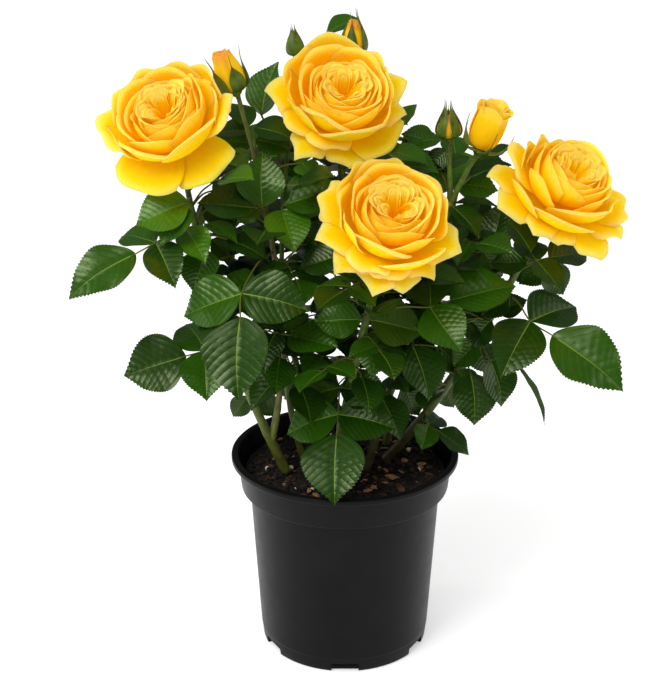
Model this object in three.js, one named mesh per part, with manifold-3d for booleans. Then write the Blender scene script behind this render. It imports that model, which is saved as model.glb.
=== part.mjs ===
// A yellow rose bush in a round black nursery pot. Millimetres, +Z up, +X to the right.
// The origin is the centre of the pot's flat underside, and the front of the bush faces -Y.
import * as THREE from 'three';
import Module from 'manifold-3d';

const wasm = await Module();
wasm.setup();

// The gap kept between two solids that touch on the real plant
const GAP = 0.3;

// Pot, a 13 cm nursery pot
const POT_HEIGHT = 117;
const RIM_RADIUS = 65;
const RIM_INNER_RADIUS = 61.1;
const RIM_DROP = 3.4;
const COLLAR_TOP_RADIUS = 61.4;
const COLLAR_FOOT_RADIUS = 59.4;
const COLLAR_FOOT_HEIGHT = 97;
const WALL_TOP_RADIUS = 54.6;
const WALL_FOOT_RADIUS = 49.2;
const FOOT_BAND_HEIGHT = 8;
const FOOT_RADIUS = 48.1;
const WALL = 1.5;
const FLOOR = 2;
const POT_SEGMENTS = 40;
const NOTCH_COUNT = 6;
const NOTCH_WIDTH = 15.5;
const NOTCH_HEIGHT = 5;
const NOTCH_DEPTH = 3;
const NOTCH_SKIN = 1.2;

// Soil, filled to a little under the rim
const SOIL_LEVEL = 108;
const SOIL_SEGMENTS = 32;

// Leaves: lengths are parts of the end leaflet's length
const RACHIS = 0.3;
const PAIR_STEP = 0.42;
const UPPER_PAIR = { turn: 77, size: 0.82 };
const LOWER_PAIR = { turn: 82, size: 0.7 };
const PAIR_DROOP = 5;
const HALF_WIDTH = 0.39;
const BLADE_CUP = 0.22;
const BLADE_DROOP = 0.12;
const BLADE_THICKNESS = 0.9;
const STALK_RADIUS = 0.9;
const STALK_ARCH = 0.1;
const STALK_TWIST = 0.4;

// Stems: foot, knee and top of one bent line each, with the radius at its foot and top.
// A cane stands on the soil, or springs from another cane that it names.
// Foliage begins at the height given as leafy; below it the cane is bare.
const STEMS = {
  left: {
    foot: [-33, -11, SOIL_LEVEL], knee: [-76, -16, 202], top: [-88, -7, 300], radius: [3.4, 1.5], leafy: 168,
  },
  left_inner: {
    on: 'left', foot: [-42, -12, 127], knee: [-23, -13, 200], top: [-56.9, 3, 320.5],
    radius: [2.5, 1.1], leafy: 168,
  },
  slim: {
    foot: [-23, 3, SOIL_LEVEL], knee: [-46, -8, 180], top: [-26.5, 26, 336], radius: [2.2, 0.9], leafy: 158,
  },
  centre: {
    foot: [-6, 0, SOIL_LEVEL], knee: [2, -24, 168], top: [21, -46, 259], radius: [3.2, 1.9], leafy: 160,
  },
  dark: {
    foot: [5, 16, SOIL_LEVEL], knee: [1, 2, 200], top: [-4, 14, 307], radius: [3, 1.7], leafy: 184,
  },
  rear_right: {
    foot: [12, -8, SOIL_LEVEL], knee: [36, 4, 190], top: [57, 1, 264], radius: [3, 1.7], leafy: 172,
  },
  right: {
    foot: [23, 6, SOIL_LEVEL], knee: [62, 3, 150], top: [110, -10, 265], radius: [3.6, 1.8], leafy: 156,
  },
  back_left: {
    foot: [-17, 26, SOIL_LEVEL], knee: [-38, 44, 190], top: [-50, 62, 268], radius: [2.6, 1.1], leafy: 150,
  },
  back: {
    foot: [3, 36, SOIL_LEVEL], knee: [8, 48, 200], top: [8, 66, 296], radius: [2.6, 1.1], leafy: 152,
  },
  back_right: {
    foot: [24, 27, SOIL_LEVEL], knee: [48, 40, 180], top: [66, 56, 262], radius: [2.6, 1.1], leafy: 148,
  },
};

// Side twigs that fork from a foliage stem at a height and end under a bud
const TWIGS = {
  rear_right: [
    { at: 262, top: [55.3, 5, 295], radius: 1.1 },
    { at: 260, top: [69.5, 0, 289.5], radius: 1.3 },
  ],
  dark: [{ at: 268, top: [5, 40, 333], radius: 1 }],
};

// The front leaves, placed as they hang: the stem that carries each and the height of its joint,
// the fork where its upper pair joins, then heading, rise and roll in degrees,
// the end leaflet's length and the number of leaflets
const FRONT_LEAVES = [
  ['left', 243, [-99.8, -30, 250.6], 208, -21, -12, 41, 5],
  ['left', 187, [-77, -15, 184], 190, -13, -30, 36, 3],
  ['left', 268, [-82, -28, 272], 193, -18, -46, 30, 1],
  ['left', 266, [-83, -26, 269], 225, -37, -11, 25, 1],
  ['left', 245, [-75, -22, 244], -107, -36, 0, 25, 1],
  ['left', 258, [-75, -14, 256], -28, -11, 0, 21, 1],
  ['left', 264, [-72, 10, 268], -15, 47, 0, 23, 1],
  ['left_inner', 238, [-54, -52, 230], -93, -50, 10, 43, 3],
  ['left_inner', 300, [-51, 10, 301], 180, 0, -20, 20, 1],
  ['left_inner', 301, [-52, 8, 304], 126, 38, 0, 19, 1],
  ['left_inner', 284, [-49, 6, 304], -17, -6, 20, 24, 1],
  ['slim', 276, [-46, 25, 306], 42, 75, 0, 30, 1],
  ['slim', 272, [-46, 31, 305], 4, 47, 0, 23, 1],
  ['left_inner', 256, [-47, -22, 267], 185, 12, -26, 31, 1],
  ['left_inner', 259, [-44, -20, 267], 90, 70, 0, 29, 1],
  ['slim', 264, [-34, -18, 265], -72, -27, 0, 28, 1],
  ['slim', 266, [-33, -16, 267], 6, 20, 32, 34, 1],
  ['left_inner', 184, [-30, -26, 179], -152, -34, 0, 32, 1],
  ['slim', 182, [-26, -24, 177], -13, -11, 0, 26, 1],
  ['centre', 167, [-4, -36, 155], -95, -41, 11, 39, 5],
  ['centre', 212, [8, -42, 212], 180, 0, -50, 25, 1],
  ['centre', 214, [13, -42, 212], -4, -11, 50, 29, 1],
  ['centre', 198, [20, -32, 201], -113, -45, 0, 25, 1],
  ['centre', 208, [44, -45, 220], 9, 17, 28, 36, 3],
  ['centre', 165, [20, -22, 159], -52, -43, 0, 25, 1],
  ['centre', 236, [-4, -25, 242], 186, -13, -41, 22, 1],
  ['rear_right', 195, [36, -30, 193], -62, -46, 0, 31, 1],
  ['rear_right', 261, [59, 2, 263], -4, 4, -20, 24, 1],
  ['rear_right', 236, [79, 0, 237], 64, 61, 0, 27, 1],
  ['rear_right', 258, [57, -8, 264], -42, -29, 0, 23, 1],
  ['rear_right', 263, [51, 12, 280], 24, 19, 12, 19, 1],
  ['rear_right', 263, [55, 12, 278], 160, 43, 0, 19, 1],
  ['rear_right', 262, [68, 14, 274], 11, 22, 13, 24, 1],
  ['dark', 284, [30, 14, 290], 5, 20, 22, 24, 1],
  ['dark', 286, [28, 20, 300], 40, 48, 0, 18, 1],
  ['dark', 316, [-10, 55, 346], 1, 31, 20, 19, 1],
  ['right', 214, [99, -28, 206], -34, -22, 16, 47, 3],
  ['right', 236, [101, -24, 239], 26, 2, 26, 26, 3],
  ['right', 240, [98, -12, 234], 172, 0, -40, 20, 1],
  ['right', 243, [98, -24, 244], 135, 45, 0, 22, 1],
  ['right', 172, [69, -15, 171], -79, -60, 0, 29, 1],
  ['right', 184, [80, -12, 177], -54, -56, 0, 26, 1],
  ['right', 190, [97, 0, 169], -20, -53, -38, 36, 1],
];

// The low shoot beside the right cane
const LOW_SHOOT = {
  on: 'right', foot: [44, 3, 136], knee: [45, 0, 137], top: [46, -3, 136], radius: [0.9, 0.9],
};
const LOW_LEAF = [[47, -5, 135], -16, -27, 13, 22, 3];

// The other leaves grow by a seeded rule, each a turn on from the last one up its stem
const SEED = 20515;
const LEAF_TURN = 144;
const LEAF_SPACING = 17;
const REACH = [20, 34];
const BLADE = [25, 35];
const TRIES = 8;
const CLEARANCE = 2.6;
const FRONT_CLEARANCE = 1.2;

// The crown's own space, as its radius at each height, round an axis through the pot
const CROWN = [
  [112, 26], [135, 46], [160, 72], [190, 92], [230, 104], [265, 98], [290, 84], [315, 52], [345, 12],
];
const CROWN_AXIS_Y = 8;

// Blooms: where each is seated on its stem, and the way it faces
const BLOOMS = {
  left: { stem: 'left', faces: [-0.3, -0.6, 0.74], spin: 10 },
  top: { stem: 'dark', faces: [0.1, -0.65, 0.75], spin: 40 },
  centre: { stem: 'centre', faces: [0.12, -0.66, 0.74], spin: 0 },
  right: { stem: 'right', faces: [0.35, -0.5, 0.79], spin: 25 },
};
const BLOOM_RADIUS = 36.5;
const BLOOM_HEIGHT = 36;
const HIP_RADIUS = 3.6;
const HIP_HEIGHT = 6;
const HEART_RADIUS = 23;
const WHORLS = [
  { count: 6, reach: 1, low: 9, tip: 19, spin: 0 },
  { count: 6, reach: 0.88, low: 13, tip: 28, spin: 30 },
];
const PETAL_THICKNESS = 1.6;

// Buds: length, width and the way each points; open ones show more petal above the sepals
const BUDS = {
  upper_left: { stem: 'left_inner', points: [-8, -2, 24], length: 27, width: 16, open: true },
  top_left: { stem: 'slim', points: [-2, 0, 18], length: 18, width: 8.5, open: false },
  top_back: { stem: 'dark', twig: 0, points: [-1, -2, 22], length: 24, width: 13, open: true },
  right_closed: { stem: 'rear_right', twig: 0, points: [-1, 0, 22], length: 22, width: 12.5, open: false },
  right_opening: { stem: 'rear_right', twig: 1, points: [7, -4, 32], length: 33, width: 18, open: true },
};

const up = new THREE.Vector3(0, 0, 1);
const vec = (list) => new THREE.Vector3(...list);
const radians = THREE.MathUtils.degToRad;
const mix = THREE.MathUtils.lerp;

// An even draw between 0 and 1, the same on every run
function makeDraw(seed) {
  let state = seed;
  return () => {
    state = (state * 16807) % 2147483647;
    return state / 2147483647;
  };
}

// Closed mesh data as a solid, and back
function toSolid(positions, triangles) {
  return new wasm.Manifold(new wasm.Mesh({
    numProp: 3,
    vertProperties: new Float32Array(positions),
    triVerts: new Uint32Array(triangles),
  }));
}

function toGeometry(solid) {
  const mesh = solid.getMesh();
  const geometry = new THREE.BufferGeometry();
  geometry.setAttribute('position', new THREE.BufferAttribute(new Float32Array(mesh.vertProperties), 3));
  geometry.setIndex(new THREE.BufferAttribute(new Uint32Array(mesh.triVerts), 1));
  geometry.computeVertexNormals();
  return geometry;
}

// A solid turned round the Z axis, from [radius, height] points listed from the lowest point
// on the axis to the highest one
function turned(profile, segments) {
  const positions = [];
  const triangles = [];
  const inner = profile.slice(1, -1);
  positions.push(0, 0, profile[0][1]);
  for (const [radius, height] of inner) {
    for (let i = 0; i < segments; i += 1) {
      const angle = (2 * Math.PI * i) / segments;
      positions.push(radius * Math.cos(angle), radius * Math.sin(angle), height);
    }
  }
  positions.push(0, 0, profile[profile.length - 1][1]);
  const last = 1 + inner.length * segments;
  const at = (ring, i) => 1 + ring * segments + (i % segments);
  for (let i = 0; i < segments; i += 1) {
    triangles.push(0, at(0, i + 1), at(0, i));
    for (let ring = 0; ring < inner.length - 1; ring += 1) {
      triangles.push(at(ring, i), at(ring, i + 1), at(ring + 1, i + 1));
      triangles.push(at(ring, i), at(ring + 1, i + 1), at(ring + 1, i));
    }
    triangles.push(last, at(inner.length - 1, i), at(inner.length - 1, i + 1));
  }
  return toSolid(positions, triangles);
}

// A tube of straight-sided rings round listed centres, closed at both ends.
// The first ring is level where level is true, for a cane cut flat at the soil.
function tube(centres, radii, sides, level = false, twist = 0) {
  const positions = [];
  const triangles = [];
  const steps = centres.length - 1;
  centres.forEach((centre, step) => {
    const before = centres[Math.max(step - 1, 0)];
    const after = centres[Math.min(step + 1, steps)];
    const along = step === 0 && level ? up.clone() : after.clone().sub(before).normalize();
    const start = Math.abs(along.z) < 0.9 ? up : new THREE.Vector3(0, 1, 0);
    const across = start.clone().sub(along.clone().multiplyScalar(start.dot(along))).normalize();
    const third = along.clone().cross(across);
    for (let i = 0; i < sides; i += 1) {
      const angle = (2 * Math.PI * i) / sides + twist;
      const point = centre.clone();
      point.addScaledVector(across, radii[step] * Math.cos(angle));
      point.addScaledVector(third, radii[step] * Math.sin(angle));
      positions.push(point.x, point.y, point.z);
    }
  });
  for (let step = 0; step < steps; step += 1) {
    for (let i = 0; i < sides; i += 1) {
      const a = step * sides + i;
      const b = step * sides + ((i + 1) % sides);
      triangles.push(a, b, b + sides, a, b + sides, a + sides);
    }
  }
  const end = steps * sides;
  for (let i = 1; i < sides - 1; i += 1) {
    triangles.push(0, i + 1, i);
    triangles.push(end, end + i, end + i + 1);
  }
  return toSolid(positions, triangles);
}

// A thin blade over an outline of [along, across] points: sharp at its edge, thickest at its middle
function blade(place, outline, middle, thickness) {
  const rim = outline.map(([u, v]) => place(u, v));
  const centre = place(...middle);
  const step = 0.02;
  const alongStep = place(middle[0] + step, middle[1]).sub(centre);
  const acrossStep = place(middle[0], middle[1] + step).sub(centre);
  const face = alongStep.cross(acrossStep).normalize().multiplyScalar(thickness / 2);
  const positions = [];
  rim.forEach((point) => positions.push(point.x, point.y, point.z));
  const top = centre.clone().add(face);
  const bottom = centre.clone().sub(face);
  positions.push(top.x, top.y, top.z, bottom.x, bottom.y, bottom.z);
  const triangles = [];
  const count = rim.length;
  for (let i = 0; i < count; i += 1) {
    const next = (i + 1) % count;
    triangles.push(count, i, next);
    triangles.push(count + 1, next, i);
  }
  return toSolid(positions, triangles);
}

// Pot: a moulded shell with a rolled lip, a collar, a tapering wall and a foot band
function potSolid() {
  const lipEdge = 0.6;
  const innerCollar = COLLAR_FOOT_RADIUS - WALL;
  const innerTop = WALL_TOP_RADIUS - WALL;
  const innerFoot = FOOT_RADIUS - WALL - 1;
  const shell = turned([
    [0, 0],
    [FOOT_RADIUS, 0],
    [FOOT_RADIUS + 0.9, FOOT_BAND_HEIGHT],
    [WALL_FOOT_RADIUS, FOOT_BAND_HEIGHT + 0.5],
    [WALL_TOP_RADIUS, COLLAR_FOOT_HEIGHT - 1],
    [COLLAR_FOOT_RADIUS, COLLAR_FOOT_HEIGHT],
    [COLLAR_TOP_RADIUS, POT_HEIGHT - RIM_DROP - 0.5],
    [RIM_RADIUS, POT_HEIGHT - RIM_DROP],
    [RIM_RADIUS, POT_HEIGHT - lipEdge],
    [RIM_RADIUS - lipEdge, POT_HEIGHT],
    [RIM_INNER_RADIUS, POT_HEIGHT],
    [innerCollar, COLLAR_FOOT_HEIGHT + 1],
    [innerTop, COLLAR_FOOT_HEIGHT - 1],
    [innerFoot, FLOOR],
    [0, FLOOR],
  ], POT_SEGMENTS);
  // Each drainage notch is a shallow recess in the foot band, with a moulded back and roof
  let pot = shell;
  for (let i = 0; i < NOTCH_COUNT; i += 1) {
    const angle = -90 + (360 / NOTCH_COUNT) * i;
    pot = pot.add(notchBlock(angle, NOTCH_SKIN, FLOOR / 2));
  }
  for (let i = 0; i < NOTCH_COUNT; i += 1) {
    const angle = -90 + (360 / NOTCH_COUNT) * i;
    pot = pot.subtract(notchBlock(angle, 0, -1));
  }
  return pot;
}

// A block at the corner between the wall and the underside, grown by a skin on its top, sides and back
function notchBlock(angle, skin, low) {
  const outer = skin > 0 ? FOOT_RADIUS - WALL / 2 : FOOT_RADIUS + 5;
  const inner = FOOT_RADIUS - NOTCH_DEPTH - skin;
  const half = NOTCH_WIDTH / 2 + skin;
  const box = new THREE.BoxGeometry(outer - inner, 2 * half, NOTCH_HEIGHT + skin - low);
  box.translate((outer + inner) / 2, 0, (NOTCH_HEIGHT + skin + low) / 2);
  box.rotateZ(radians(angle));
  return boxSolid(box);
}

function boxSolid(box) {
  const corner = box.getAttribute('position');
  const keys = new Map();
  const positions = [];
  const renumber = [];
  for (let i = 0; i < corner.count; i += 1) {
    const point = [corner.getX(i), corner.getY(i), corner.getZ(i)];
    const key = point.map((value) => value.toFixed(4)).join();
    if (!keys.has(key)) {
      keys.set(key, positions.length / 3);
      positions.push(...point);
    }
    renumber.push(keys.get(key));
  }
  return toSolid(positions, Array.from(box.getIndex().array, (i) => renumber[i]));
}

// Soil: a plug that fills the pot, clear of its wall and its notches, with a flat top under the canes
function soilSolid() {
  const clear = WALL + GAP + 0.3;
  let soil = turned([
    [0, FLOOR + GAP],
    [FOOT_RADIUS - 1.4 - clear, FLOOR + GAP],
    [WALL_TOP_RADIUS - clear - 0.3, COLLAR_FOOT_HEIGHT - 1],
    [COLLAR_FOOT_RADIUS - clear - 0.3, COLLAR_FOOT_HEIGHT + 1.4],
    [COLLAR_FOOT_RADIUS - clear, SOIL_LEVEL - GAP],
    [0, SOIL_LEVEL - GAP],
  ], SOIL_SEGMENTS);
  for (let i = 0; i < NOTCH_COUNT; i += 1) {
    const angle = -90 + (360 / NOTCH_COUNT) * i;
    soil = soil.subtract(notchBlock(angle, NOTCH_SKIN + GAP, 0));
  }
  return soil;
}

// The bent line of a stem
function lineOf(stem) {
  return new THREE.QuadraticBezierCurve3(vec(stem.foot), vec(stem.knee), vec(stem.top));
}

// How far along it a line reaches a height
function partAtHeight(line, height) {
  let low = 0;
  let high = 1;
  for (let i = 0; i < 30; i += 1) {
    const middle = (low + high) / 2;
    if (line.getPoint(middle).z < height) {
      low = middle;
    } else {
      high = middle;
    }
  }
  return (low + high) / 2;
}

function radiusAt(stem, part) {
  return mix(stem.radius[0], stem.radius[1], part);
}

// The stretch of a stem between two parts of its line, made wider by extra
function stemSolid(stem, from, to, sides, stepLength, extra = 0) {
  const line = lineOf(stem);
  const steps = Math.max(2, Math.round((line.getLength() * (to - from)) / stepLength));
  const centres = [];
  const radii = [];
  for (let i = 0; i <= steps; i += 1) {
    const part = mix(from, to, i / steps);
    centres.push(line.getPoint(part));
    radii.push(radiusAt(stem, part) + extra);
  }
  return tube(centres, radii, sides, from === 0 && !stem.on);
}

const CANE_SIDES = 8;
const STEM_SIDES = 6;
const CANE_STEP = 12;
const STEM_STEP = 22;

function caneSolid(stem) {
  const end = partAtHeight(lineOf(stem), stem.leafy);
  const cane = stemSolid(stem, 0, end, CANE_SIDES, CANE_STEP);
  if (!stem.on) {
    return cane;
  }
  const carrier = STEMS[stem.on];
  return cane.subtract(stemSolid(carrier, 0, 0.6, CANE_SIDES, CANE_STEP, GAP));
}

// A leaf's own axes: along its stalk, across to its right side, and up out of its face
function leafAxes(heading, rise, roll) {
  const h = radians(heading);
  const r = radians(rise);
  const along = new THREE.Vector3(Math.cos(r) * Math.cos(h), Math.cos(r) * Math.sin(h), Math.sin(r));
  const flatFace = new THREE.Vector3(-Math.sin(r) * Math.cos(h), -Math.sin(r) * Math.sin(h), Math.cos(r));
  const flatSide = along.clone().cross(flatFace);
  const c = Math.cos(radians(roll));
  const s = Math.sin(radians(roll));
  const side = flatSide.clone().multiplyScalar(c).addScaledVector(flatFace, -s);
  const face = flatFace.clone().multiplyScalar(c).addScaledVector(flatSide, s);
  return { along, side, face };
}

// A compound leaf: its leaflets, and the line of its stalk from the stem to the end leaflet
function compoundLeaf(joint, fork, heading, rise, roll, length, count) {
  const axes = leafAxes(heading, rise, roll);
  const leaflets = [];
  const addPair = (root, pair) => {
    for (const hand of [1, -1]) {
      const turn = radians(pair.turn);
      const along = axes.along.clone().multiplyScalar(Math.cos(turn));
      along.addScaledVector(axes.side, hand * Math.sin(turn));
      const droop = radians(PAIR_DROOP);
      const face = axes.face.clone().multiplyScalar(Math.cos(droop)).addScaledVector(along, Math.sin(droop));
      along.multiplyScalar(Math.cos(droop)).addScaledVector(axes.face, -Math.sin(droop));
      leaflets.push({ root, along, side: along.clone().cross(face), face, length: pair.size * length });
    }
  };
  const stalk = [joint];
  const back = fork.clone().addScaledVector(axes.along, count > 3 ? -PAIR_STEP * length : 0);
  const arch = joint.clone().lerp(back, 0.5);
  arch.z += STALK_ARCH * joint.distanceTo(back);
  stalk.push(arch, back);
  let end = fork;
  if (count > 3) {
    addPair(back, LOWER_PAIR);
    stalk.push(fork);
  }
  if (count > 1) {
    addPair(fork, UPPER_PAIR);
    end = fork.clone().addScaledVector(axes.along, RACHIS * length);
    stalk.push(end);
  }
  stalk.push(end.clone().addScaledVector(axes.along, 0.08 * length));
  leaflets.push({ root: end, ...axes, length });
  return { leaflets, stalk };
}

// Half the width of a leaflet at a part of its length, and how far its blade stands off its flat plane
function halfWidth(u) {
  const inside = Math.min(Math.max(u, 0), 1);
  return HALF_WIDTH * Math.sin(Math.PI * inside ** 0.75) ** 0.75;
}

function lift(u, v) {
  return BLADE_CUP * Math.abs(v) - BLADE_DROOP * u * u;
}

function leafletPoint(leaflet, u, v) {
  const point = leaflet.root.clone();
  point.addScaledVector(leaflet.along, u * leaflet.length);
  point.addScaledVector(leaflet.side, v * leaflet.length);
  point.addScaledVector(leaflet.face, lift(u, v) * leaflet.length);
  return point;
}

const LEAF_OUTLINE = [
  [0.015, 0],
  [0.22, -halfWidth(0.22)], [0.62, -halfWidth(0.62)],
  [1, 0],
  [0.62, halfWidth(0.62)], [0.22, halfWidth(0.22)],
];

function leafletSolid(leaflet) {
  return blade((u, v) => leafletPoint(leaflet, u, v), LEAF_OUTLINE, [0.42, 0], BLADE_THICKNESS);
}

function stalkSolid(stalk) {
  const radii = stalk.map((_, i) => mix(STALK_RADIUS, 0.6, i / (stalk.length - 1)));
  return tube(stalk, radii, 3, false, STALK_TWIST);
}

// Points spread over a leaflet, and along a stalk, that the rule tests
function leafletSamples(leaflet) {
  const samples = [];
  for (const u of [0.08, 0.25, 0.42, 0.6, 0.78, 0.92]) {
    for (const v of [-0.85, -0.4, 0, 0.4, 0.85]) {
      samples.push(leafletPoint(leaflet, u, v * halfWidth(u)));
    }
  }
  samples.push(leafletPoint(leaflet, 1, 0));
  return samples;
}

function stalkSamples(stalk, from) {
  const samples = [];
  for (let i = 0; i < stalk.length - 1; i += 1) {
    const steps = Math.max(1, Math.round(stalk[i].distanceTo(stalk[i + 1]) / 3));
    for (let k = 0; k < steps; k += 1) {
      const point = stalk[i].clone().lerp(stalk[i + 1], k / steps);
      if (point.distanceTo(stalk[0]) > from) {
        samples.push(point);
      }
    }
  }
  return samples;
}

function nearLeaflet(leaflet, point, margin) {
  const offset = point.clone().sub(leaflet.root);
  const u = offset.dot(leaflet.along) / leaflet.length;
  const v = offset.dot(leaflet.side) / leaflet.length;
  const spare = margin / leaflet.length;
  if (u < -spare || u > 1 + spare || Math.abs(v) > halfWidth(u) + spare) {
    return false;
  }
  return Math.abs(offset.dot(leaflet.face) - lift(u, v) * leaflet.length) < margin;
}

// What has grown so far: leaflets and stalks with their stem's name, stem points,
// and round bloom and bud spaces
const grown = { leaflets: [], stalks: [], stems: [], balls: [] };

// Whether a leaf is clear of all that has grown. Leaves on its own stem need only the clearance
// given as own, and with none given they and the stem itself aren't tested.
function fits(leaf, name, margin, own) {
  const stalkPoints = stalkSamples(leaf.stalk, 5);
  for (const leaflet of leaf.leaflets) {
    const samples = leafletSamples(leaflet);
    for (const other of grown.leaflets) {
      const room = other.name === name ? own : margin;
      const reach = other.leaflet.length + leaflet.length + margin;
      if (room > 0 && other.leaflet.root.distanceTo(leaflet.root) < reach) {
        if (samples.some((point) => nearLeaflet(other.leaflet, point, room))) {
          return false;
        }
        if (other.samples.some((point) => nearLeaflet(leaflet, point, room))) {
          return false;
        }
      }
    }
    for (const other of grown.stalks) {
      const room = other.name === name ? own : margin;
      if (room > 0 && other.samples.some((point) => nearLeaflet(leaflet, point, room + 0.6))) {
        return false;
      }
    }
    for (const stem of grown.stems) {
      const tested = stem.name !== name || own > 0;
      if (tested && stem.samples.some(({ point, radius }) => nearLeaflet(leaflet, point, radius + margin))) {
        return false;
      }
    }
    for (const ball of grown.balls) {
      if (samples.some((point) => ball.holds(point, margin))) {
        return false;
      }
    }
  }
  for (const other of grown.leaflets) {
    const room = other.name === name ? own : margin;
    if (room > 0 && stalkPoints.some((point) => nearLeaflet(other.leaflet, point, room + 0.6))) {
      return false;
    }
  }
  for (const stem of grown.stems) {
    if (stem.name !== name) {
      for (const { point, radius } of stem.samples) {
        if (stalkPoints.some((sample) => sample.distanceTo(point) < radius + margin + 1.2)) {
          return false;
        }
      }
    }
  }
  for (const ball of grown.balls) {
    if (stalkPoints.some((point) => ball.holds(point, margin))) {
      return false;
    }
  }
  return true;
}

function keepLeaf(leaf, name) {
  for (const leaflet of leaf.leaflets) {
    grown.leaflets.push({ leaflet, name, samples: leafletSamples(leaflet) });
  }
  grown.stalks.push({ name, samples: stalkSamples(leaf.stalk, 0) });
  leaves[name].push(leaf);
}

// The crown's radius at a height
function crownRadius(height) {
  if (height < CROWN[0][0]) {
    return 0;
  }
  for (let i = 0; i < CROWN.length - 1; i += 1) {
    const [low, lowRadius] = CROWN[i];
    const [high, highRadius] = CROWN[i + 1];
    if (height < high) {
      return mix(lowRadius, highRadius, (height - low) / (high - low));
    }
  }
  return 0;
}

function insideCrown(leaf) {
  return leaf.leaflets.every((leaflet) => {
    const tip = leafletPoint(leaflet, 1, 0);
    return Math.hypot(tip.x, tip.y - CROWN_AXIS_Y) < crownRadius(tip.z);
  });
}

function noteStem(name, line, radius) {
  const samples = [];
  const steps = Math.ceil(line.getLength() / 3);
  for (let i = 0; i <= steps; i += 1) {
    samples.push({ point: line.getPoint(i / steps), radius: radius(i / steps) });
  }
  grown.stems.push({ name, samples });
}

// A bloom's or bud's space: a flattened ball round a centre, along the way it faces
function noteBall(seat, faces, low, high, radius) {
  const axis = faces.clone().normalize();
  const middle = (low + high) / 2;
  const half = (high - low) / 2;
  const holds = (point, margin) => {
    const offset = point.clone().sub(seat);
    const along = offset.dot(axis);
    const across = Math.sqrt(Math.max(offset.lengthSq() - along * along, 0));
    const a = (along - middle) / (half + margin);
    const b = across / (radius + margin);
    return a * a + b * b < 1;
  };
  grown.balls.push({ holds });
}

function twigLine(name, twig) {
  const line = lineOf(STEMS[name]);
  const start = line.getPoint(partAtHeight(line, twig.at));
  const end = vec(twig.top);
  const knee = start.clone().lerp(end, 0.5);
  knee.z += 0.12 * start.distanceTo(end);
  return new THREE.QuadraticBezierCurve3(start, knee, end);
}

const leaves = {};
for (const [name, stem] of Object.entries(STEMS)) {
  leaves[name] = [];
  noteStem(name, lineOf(stem), (part) => radiusAt(stem, part));
  for (const twig of TWIGS[name] ?? []) {
    noteStem(name, twigLine(name, twig), () => twig.radius);
  }
}
for (const bloom of Object.values(BLOOMS)) {
  noteBall(vec(STEMS[bloom.stem].top), vec(bloom.faces), 2, BLOOM_HEIGHT + 3, BLOOM_RADIUS);
}
for (const bud of Object.values(BUDS)) {
  noteBall(vec(budSeat(bud)), vec(bud.points), -1, bud.length, bud.width / 2);
}

function budSeat(bud) {
  return bud.twig === undefined ? STEMS[bud.stem].top : TWIGS[bud.stem][bud.twig].top;
}

// Where a bloom or bud sits so that its flat base just clears the slanted end of the stem under it
function seatOver(line, radius, way) {
  const tilt = line.getTangent(1).angleTo(way);
  return line.getPoint(1).addScaledVector(way, GAP + 0.1 + radius * Math.sin(tilt));
}

// The point of a stem at a height; above the stem's own top it is on its first side twig
function jointOn(name, height) {
  const stem = STEMS[name];
  const line = height > stem.top[2] ? twigLine(name, TWIGS[name][0]) : lineOf(stem);
  return line.getPoint(partAtHeight(line, height));
}

for (const [name, height, fork, heading, rise, roll, length, count] of FRONT_LEAVES) {
  const leaf = compoundLeaf(jointOn(name, height), vec(fork), heading, rise, roll, length, count);
  if (fits(leaf, name, FRONT_CLEARANCE, 0)) {
    keepLeaf(leaf, name);
  }
}

const lowJoint = vec(LOW_SHOOT.top);
leaves.low_right = [];
{
  const [fork, heading, rise, roll, length, count] = LOW_LEAF;
  const leaf = compoundLeaf(lowJoint, vec(fork), heading, rise, roll, length, count);
  keepLeaf(leaf, 'low_right');
  noteStem('low_right', lineOf(LOW_SHOOT), () => LOW_SHOOT.radius[0]);
}

// Seeded leaves, up each stem in turn
const draw = makeDraw(SEED);
for (const [name, stem] of Object.entries(STEMS)) {
  const line = lineOf(stem);
  const start = partAtHeight(line, stem.leafy + 8);
  const nodes = Math.floor((line.getLength() * (1 - start)) / LEAF_SPACING);
  let heading = draw() * 360;
  for (let i = 0; i < nodes; i += 1) {
    heading += LEAF_TURN;
    const part = mix(start, 0.94, i / nodes);
    const joint = line.getPoint(part);
    for (let attempt = 0; attempt < TRIES; attempt += 1) {
      const turned = heading + (draw() - 0.5) * 30 * (1 + attempt);
      const rise = mix(-25, 20, part) + (draw() - 0.5) * 40;
      const roll = (draw() - 0.5) * 50;
      const reach = mix(REACH[0], REACH[1], draw());
      const length = mix(BLADE[0], BLADE[1], draw()) * (1 - 0.25 * part);
      const count = draw() < 0.6 && attempt < 4 ? 5 : 3;
      const h = radians(turned);
      const lean = radians(mix(rise, 25, 0.5));
      const fork = joint.clone();
      fork.x += reach * Math.cos(lean) * Math.cos(h);
      fork.y += reach * Math.cos(lean) * Math.sin(h);
      fork.z += reach * Math.sin(lean);
      const leaf = compoundLeaf(joint, fork, turned, rise, roll, length, count);
      if (insideCrown(leaf) && fits(leaf, name, CLEARANCE, 1.5)) {
        keepLeaf(leaf, name);
        break;
      }
    }
  }
}

// A foliage mass: the stem's leafy stretch with its side twigs, stalks and leaflets joined on
function foliageSolid(name, stem, from, cutBy) {
  let solid = stemSolid(stem, from, 1, STEM_SIDES, STEM_STEP);
  for (const twig of TWIGS[name] ?? []) {
    const line = twigLine(name, twig);
    const centres = [0, 0.5, 1].map((part) => line.getPoint(part));
    solid = solid.add(tube(centres, centres.map(() => twig.radius), STEM_SIDES));
  }
  for (const leaf of leaves[name]) {
    solid = solid.add(stalkSolid(leaf.stalk));
    for (const leaflet of leaf.leaflets) {
      solid = solid.add(leafletSolid(leaflet));
    }
  }
  if (cutBy) {
    solid = solid.subtract(cutBy);
  }
  return largestBody(solid);
}

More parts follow.
